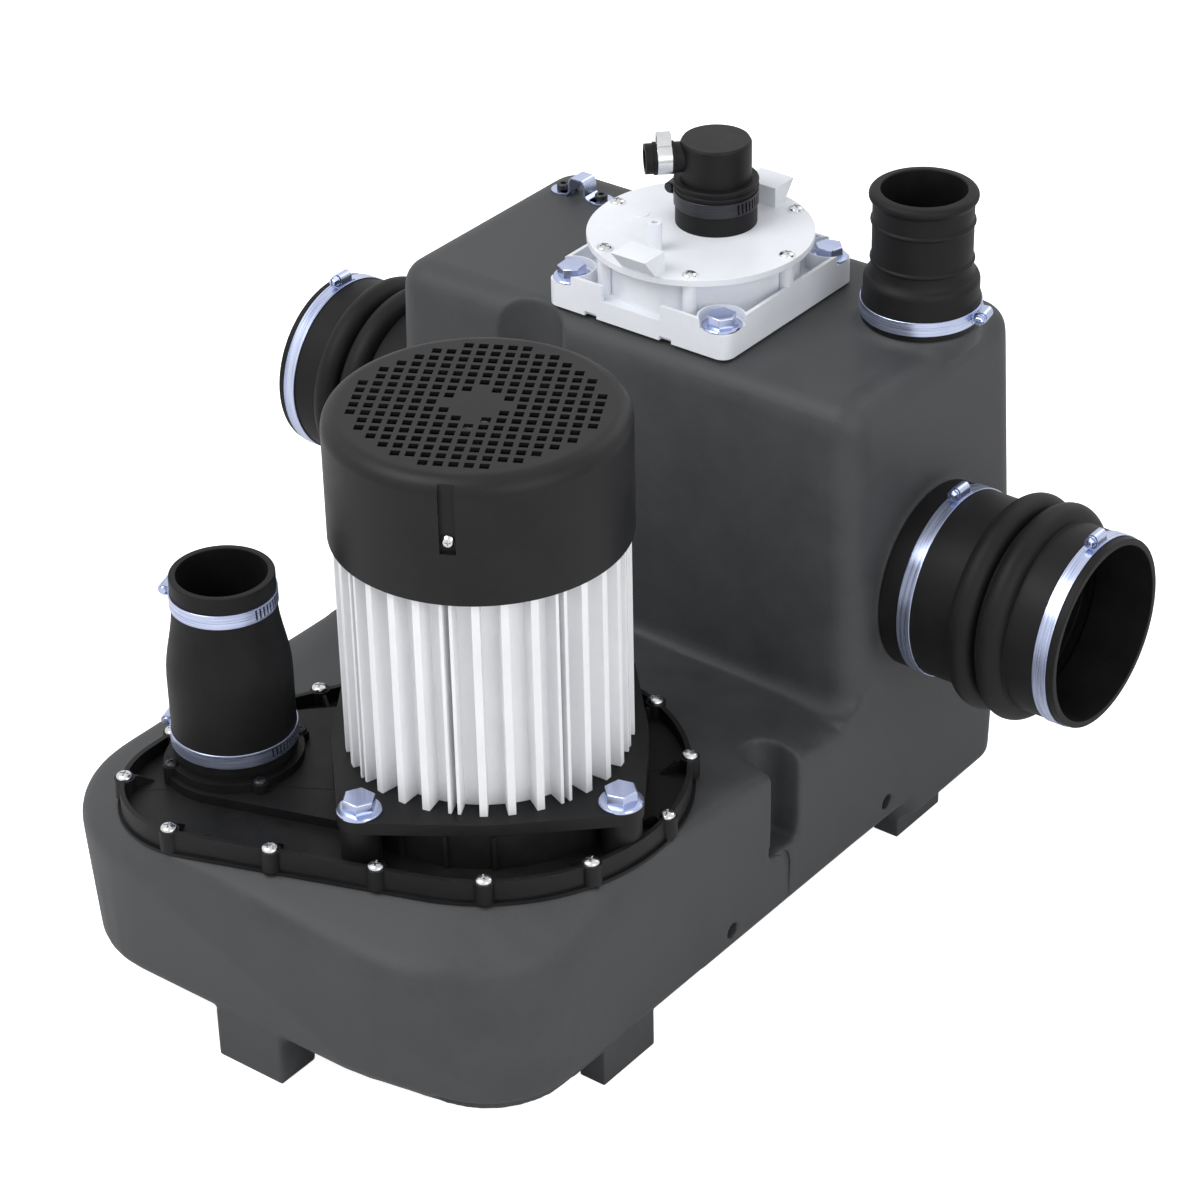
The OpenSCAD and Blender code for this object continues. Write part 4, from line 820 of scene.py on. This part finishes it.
def mouldedTank():
    mesh = mergedCopy("tank", flatAngle=0)
    for vertex in mesh.vertices:
        # the hollow's lower edge is drawn in, so that the wall stays whole at the round edge of the belly
        if abs(vertex.co.z * 1000 - tankLook["hollowLow"]) < 0.05:
            vertex.co.x += (tankLook["middle"][0] / 1000 - vertex.co.x) * tankLook["drawIn"]
            vertex.co.y += (tankLook["middle"][1] / 1000 - vertex.co.y) * tankLook["drawIn"]
    helper = helperObject(mesh)
    skin = helper.modifiers.new("skin", "REMESH")
    skin.mode = "VOXEL"
    skin.voxel_size = tankLook["voxelMm"] / 1000
    helper = helperObject(applied(helper))
    group = helper.vertex_groups.new(name="shoulders")
    for vertex in helper.data.vertices:
        share = shoulderShare(vertex.co.x * 1000, vertex.co.y * 1000, vertex.co.z * 1000)
        if share > 0.01:
            group.add([vertex.index], share, "REPLACE")
    for passes, groupName in ((tankLook["shoulderPasses"], "shoulders"), (tankLook["evenPasses"], "")):
        smooth = helper.modifiers.new("smooth", "SMOOTH")
        smooth.factor = tankLook["smooth"]
        smooth.iterations = passes
        smooth.vertex_group = groupName
    fewer = helper.modifiers.new("fewer", "DECIMATE")
    fewer.ratio = tankLook["keepShare"]
    mesh = applied(helper)
    print("tank skin has", len(mesh.polygons), "faces")
    return cutFrom(mesh, [grooveCutter(x) for x in tankLook["grooves"]]
                   + [holeCutter(*hole) for hole in tankLook["holes"]])


addPiece("mouldedTank", mouldedTank(), tankPolyethylene, "housing", "tank",
         sharpAngle=tankLook["sharpAngle"])
print("tank is made")

# The pump cover: its CAD body with the plain ribs sunk, a gusset at each screw and the roof of the duct
coverLook = {
    "middle": (-40.0, -40.0), "rib": 161.0, "plate": 154.0, "ribSunk": 0.15, "rimTop": 163.0, "edge": 0.7,
    "ductEnds": ((*dischargeSpot, 43), (-14, -8, 74)), "ductTop": 160.3, "ductEdge": 0.9,
    "ductBores": ((*dischargeSpot, 19), (0, 0, 88)), "boreLow": 100, "boreHigh": 200,
    "gussetFrom": 4, "gussetLong": 15.0, "gussetThick": 2.0, "gussetFlat": 8,
    "hubRib": 2.2, "hubFrom": 88, "hubTo": 94.2, "hubTop": 176, "hubRibs": (-118, -101, -84, -67, -50),
}
coverScrews = [(x, y) for x, y, z in headCentres("cover_screws", 15)]


def hullOf(circles):
    points = [p for x, y, r in circles for p in arc(x, y, r, 0, 356, 89)]
    return [points[k] for k in geometry.convex_hull_2d(points)]


def inwardTurn(spot, outline):
    # the way from the rim to the inside at a screw, taken from the nearest edge of the outline
    best = None
    for k, (ax, ay) in enumerate(outline):
        bx, by = outline[(k + 1) % len(outline)]
        mx, my = (ax + bx) / 2, (ay + by) / 2
        span = math.hypot(bx - ax, by - ay)
        share = upTo((spot[0] - ax) * (bx - ax) + (spot[1] - ay) * (by - ay), span * span + 1e-9)
        far = math.hypot(spot[0] - ax - share * (bx - ax), spot[1] - ay - share * (by - ay))
        if best is None or far < best[0]:
            turn = math.atan2(bx - ax, -(by - ay))
            toX, toY = coverLook["middle"][0] - mx, coverLook["middle"][1] - my
            inside = math.cos(turn) * toX + math.sin(turn) * toY
            best = (far, turn if inside > 0 else turn + math.pi)
    return best[1]


def coverGussets(low):
    # a triangular plate at each screw, from the rim down to the plate
    near, flat = coverLook["gussetFrom"], coverLook["gussetFlat"]
    far = coverLook["gussetLong"] + near
    half = coverLook["gussetThick"] / 2
    top = coverLook["rimTop"] - 0.8
    side = [(near, low), (far, low), (flat, top - 0.5), (near, top)]
    gusset = lofted("gusset", [[(x, y, z) for x, z in side] for y in (-half, half)])
    outline = [coverScrews[k] for k in geometry.convex_hull_2d(coverScrews)]
    return scattered("gussets", [(x, y, 0) for x, y in coverScrews], gusset, coverPolyamide, 1, 0.0,
                     [inwardTurn(spot, outline) for spot in coverScrews])


def pumpCover():
    mesh = mergedCopy("pump_cover")
    for vertex in mesh.vertices:
        if abs(vertex.co.z * 1000 - coverLook["rib"]) < 0.02:
            vertex.co.z = (coverLook["plate"] + coverLook["ribSunk"]) / 1000
    body = roundEdges(mesh, coverLook["edge"])
    low = coverLook["plate"] - 0.5
    duct = prism("ductRoof", hullOf(coverLook["ductEnds"]), low, coverLook["ductTop"])
    bores = [rod("bore", r, coverLook["boreLow"], coverLook["boreHigh"], place=placed(x, y, 0))
             for x, y, r in coverLook["ductBores"]]
    near, far, half = coverLook["hubFrom"], coverLook["hubTo"], coverLook["hubRib"] / 2
    ribSection = [(near, -half), (far, -half), (far, half), (near, half)]
    hub = [prism("hubRib", ribSection, low, coverLook["hubTop"], placed(0, 0, 0, turn))
           for turn in coverLook["hubRibs"]]
    roof = roundEdges(cutFrom(duct, bores), coverLook["ductEdge"])
    return joined("pumpCover", [body, coverGussets(low), roof] + hub)


addPiece("pumpCoverRibbed", pumpCover(), coverPolyamide, "housing", "pump_cover")

# Top inlet coupling: straight foot, sudden shoulder, two beads and a round lip
inletLook = {
    "level": 347.3, "sleeve": 32.0, "sleeveTall": 22, "foot": 36.0, "footTall": 15.2, "neck": 30.4,
    "bore": 25.8, "shoulder": (29.4, 25.4, 5.7), "beads": (39.5, 64.0), "beadRadius": 1.4, "beadHalf": 1.6,
    "lip": (29.4, 80.2, 3.4), "lipInside": (26.8, 82.9, 1), "sharpAngle": 48,
}


def inletOutline():
    foot, neck, bore, sleeve = (inletLook[key] for key in ("foot", "neck", "bore", "sleeve"))
    half = inletLook["beadHalf"]
    outline = [(sleeve, 0), (foot - 0.6, 0), (foot, 0.6), (foot, inletLook["footTall"]),
               (foot - 0.9, inletLook["footTall"] + 1.2)]
    outline += arc(*inletLook["shoulder"], 0, 62, 7) + [(neck + 0.2, 33.2)]
    for level in inletLook["beads"]:
        outline += [(neck, level - half)] + arc(neck - 0.3, level, inletLook["beadRadius"], -70, 70, 6)
        outline += [(neck, level + half)]
    outline += [(neck, 75.6)] + arc(*inletLook["lip"], -60, 90, 10)
    outline += arc(*inletLook["lipInside"], 95, 180, 5) + [(bore, 36), (sleeve, inletLook["sleeveTall"])]
    return outline


addPiece("inletCouplingTurned",
         turned("inlet", inletOutline(), steps=128, place=placed(*inletSpot, inletLook["level"])),
         rubberEpdm, "housing", "inlet_coupling", sharpAngle=inletLook["sharpAngle"])

# Cable bracket: a strip pressed into a flat-topped hat between two round feet
bracketLook = {
    "left": -205.0, "right": -175.0, "low": 333.2, "high": 345.8, "seat": 342, "thick": 1.5, "hat": 12.4,
    "footRadius": 8, "leftFoot": 339, "rightFoot": 340, "edge": 0.25,
}


def cableBracket():
    thick, seat, top = (bracketLook[key] for key in ("thick", "seat", "hat"))
    left, right = bracketLook["left"], bracketLook["right"]
    mid = (left + right) / 2
    rise = [(9.2, 0), (8.4, 0.5), (7.0, 2), (6.6, top - 3.4), (5.6, top - 1.2), (4.2, top)]
    line = [(left, 0)] + [(mid - x, z) for x, z in rise]
    line += [(mid + x, z) for x, z in reversed(rise)] + [(right, 0)]
    under = []
    for k, (x, z) in enumerate(line):
        ax, az = line[max(k - 1, 0)]
        bx, bz = line[min(k + 1, len(line) - 1)]
        span = math.hypot(bx - ax, bz - az)
        under.append((x + thick * (bz - az) / span, z - thick * (bx - ax) / span))
    outer = [(x, z + thick + seat) for x, z in line]
    inner = [(x, z + thick + seat) for x, z in reversed(under)]
    hat = bentStrip("hat", outer, inner, bracketLook["low"], bracketLook["high"])
    feet = [rod("foot", bracketLook["footRadius"], 0, thick, 48, placed(x, y, seat))
            for x, y in ((left, bracketLook["leftFoot"]), (right, bracketLook["rightFoot"]))]
    return joined("bracket", [roundEdges(mesh, bracketLook["edge"]) for mesh in [hat] + feet])


addPiece("cableBracketHat", cableBracket(), zincSteel, "housing", "cable_bracket")

# Level lid: its CAD body with a raised ring round each screw
lidEdge = 0.9
ringOutline = [(3.4, -0.2), (5.4, -0.2), (5.2, 0.6), (4.7, 0.95), (4.1, 0.95), (3.6, 0.5)]
lidRings = scattered("lidRings", headCentres("lid_screws", 6, levels["lidTop"]),
                     turned("ring", ringOutline, steps=40), levelAbs, 2)
addPiece("levelLidRinged", joined("lid", [roundEdges(mergedCopy("level_lid"), lidEdge), lidRings]),
         levelAbs, bodyOf["level_lid"], "level_lid")

# Level base: its CAD body with the corners cut down round the bolts
baseLook = {"cutRadius": 14.0, "cutLow": 360.4, "cutHigh": 420, "edge": 0.6}
baseCutters = [
    rod("corner", baseLook["cutRadius"], baseLook["cutLow"], baseLook["cutHigh"], 48, placed(x, y, 0))
    for x, y, z in headCentres("level_bolts", 4)]
addPiece("levelBaseCut", roundEdges(cutFrom(mergedCopy("level_base"), baseCutters), baseLook["edge"]),
         levelAbs, bodyOf["level_base"], "level_base")
print("cover, inlet, bracket, lid and base are made")

# Edge radius in millimetres of each part that keeps its CAD shape
edgeRounds = {
    "motor_plate": 0.9, "cover_gasket": 0.4, "discharge_flange": 0.7, "vent_elbow": 0.8,
    "vent_sleeve": 0.5, "hose_clip": 0.25, "fan_cover": 0.35, "discharge_coupling": 0.9,
    "right_coupling": 0.9, "left_coupling": 0.9, "motor_housing": 0.45, "end_shield": 0.5,
    "vent_hose": 0.4, "volute": 0.8, "level_gasket": 0.3,
}
for name, edgeMm in edgeRounds.items():
    addPiece(name + "Soft", roundEdges(mergedCopy(name), edgeMm), finishOf[name], bodyOf[name], name)
print("soft-edged parts are made")
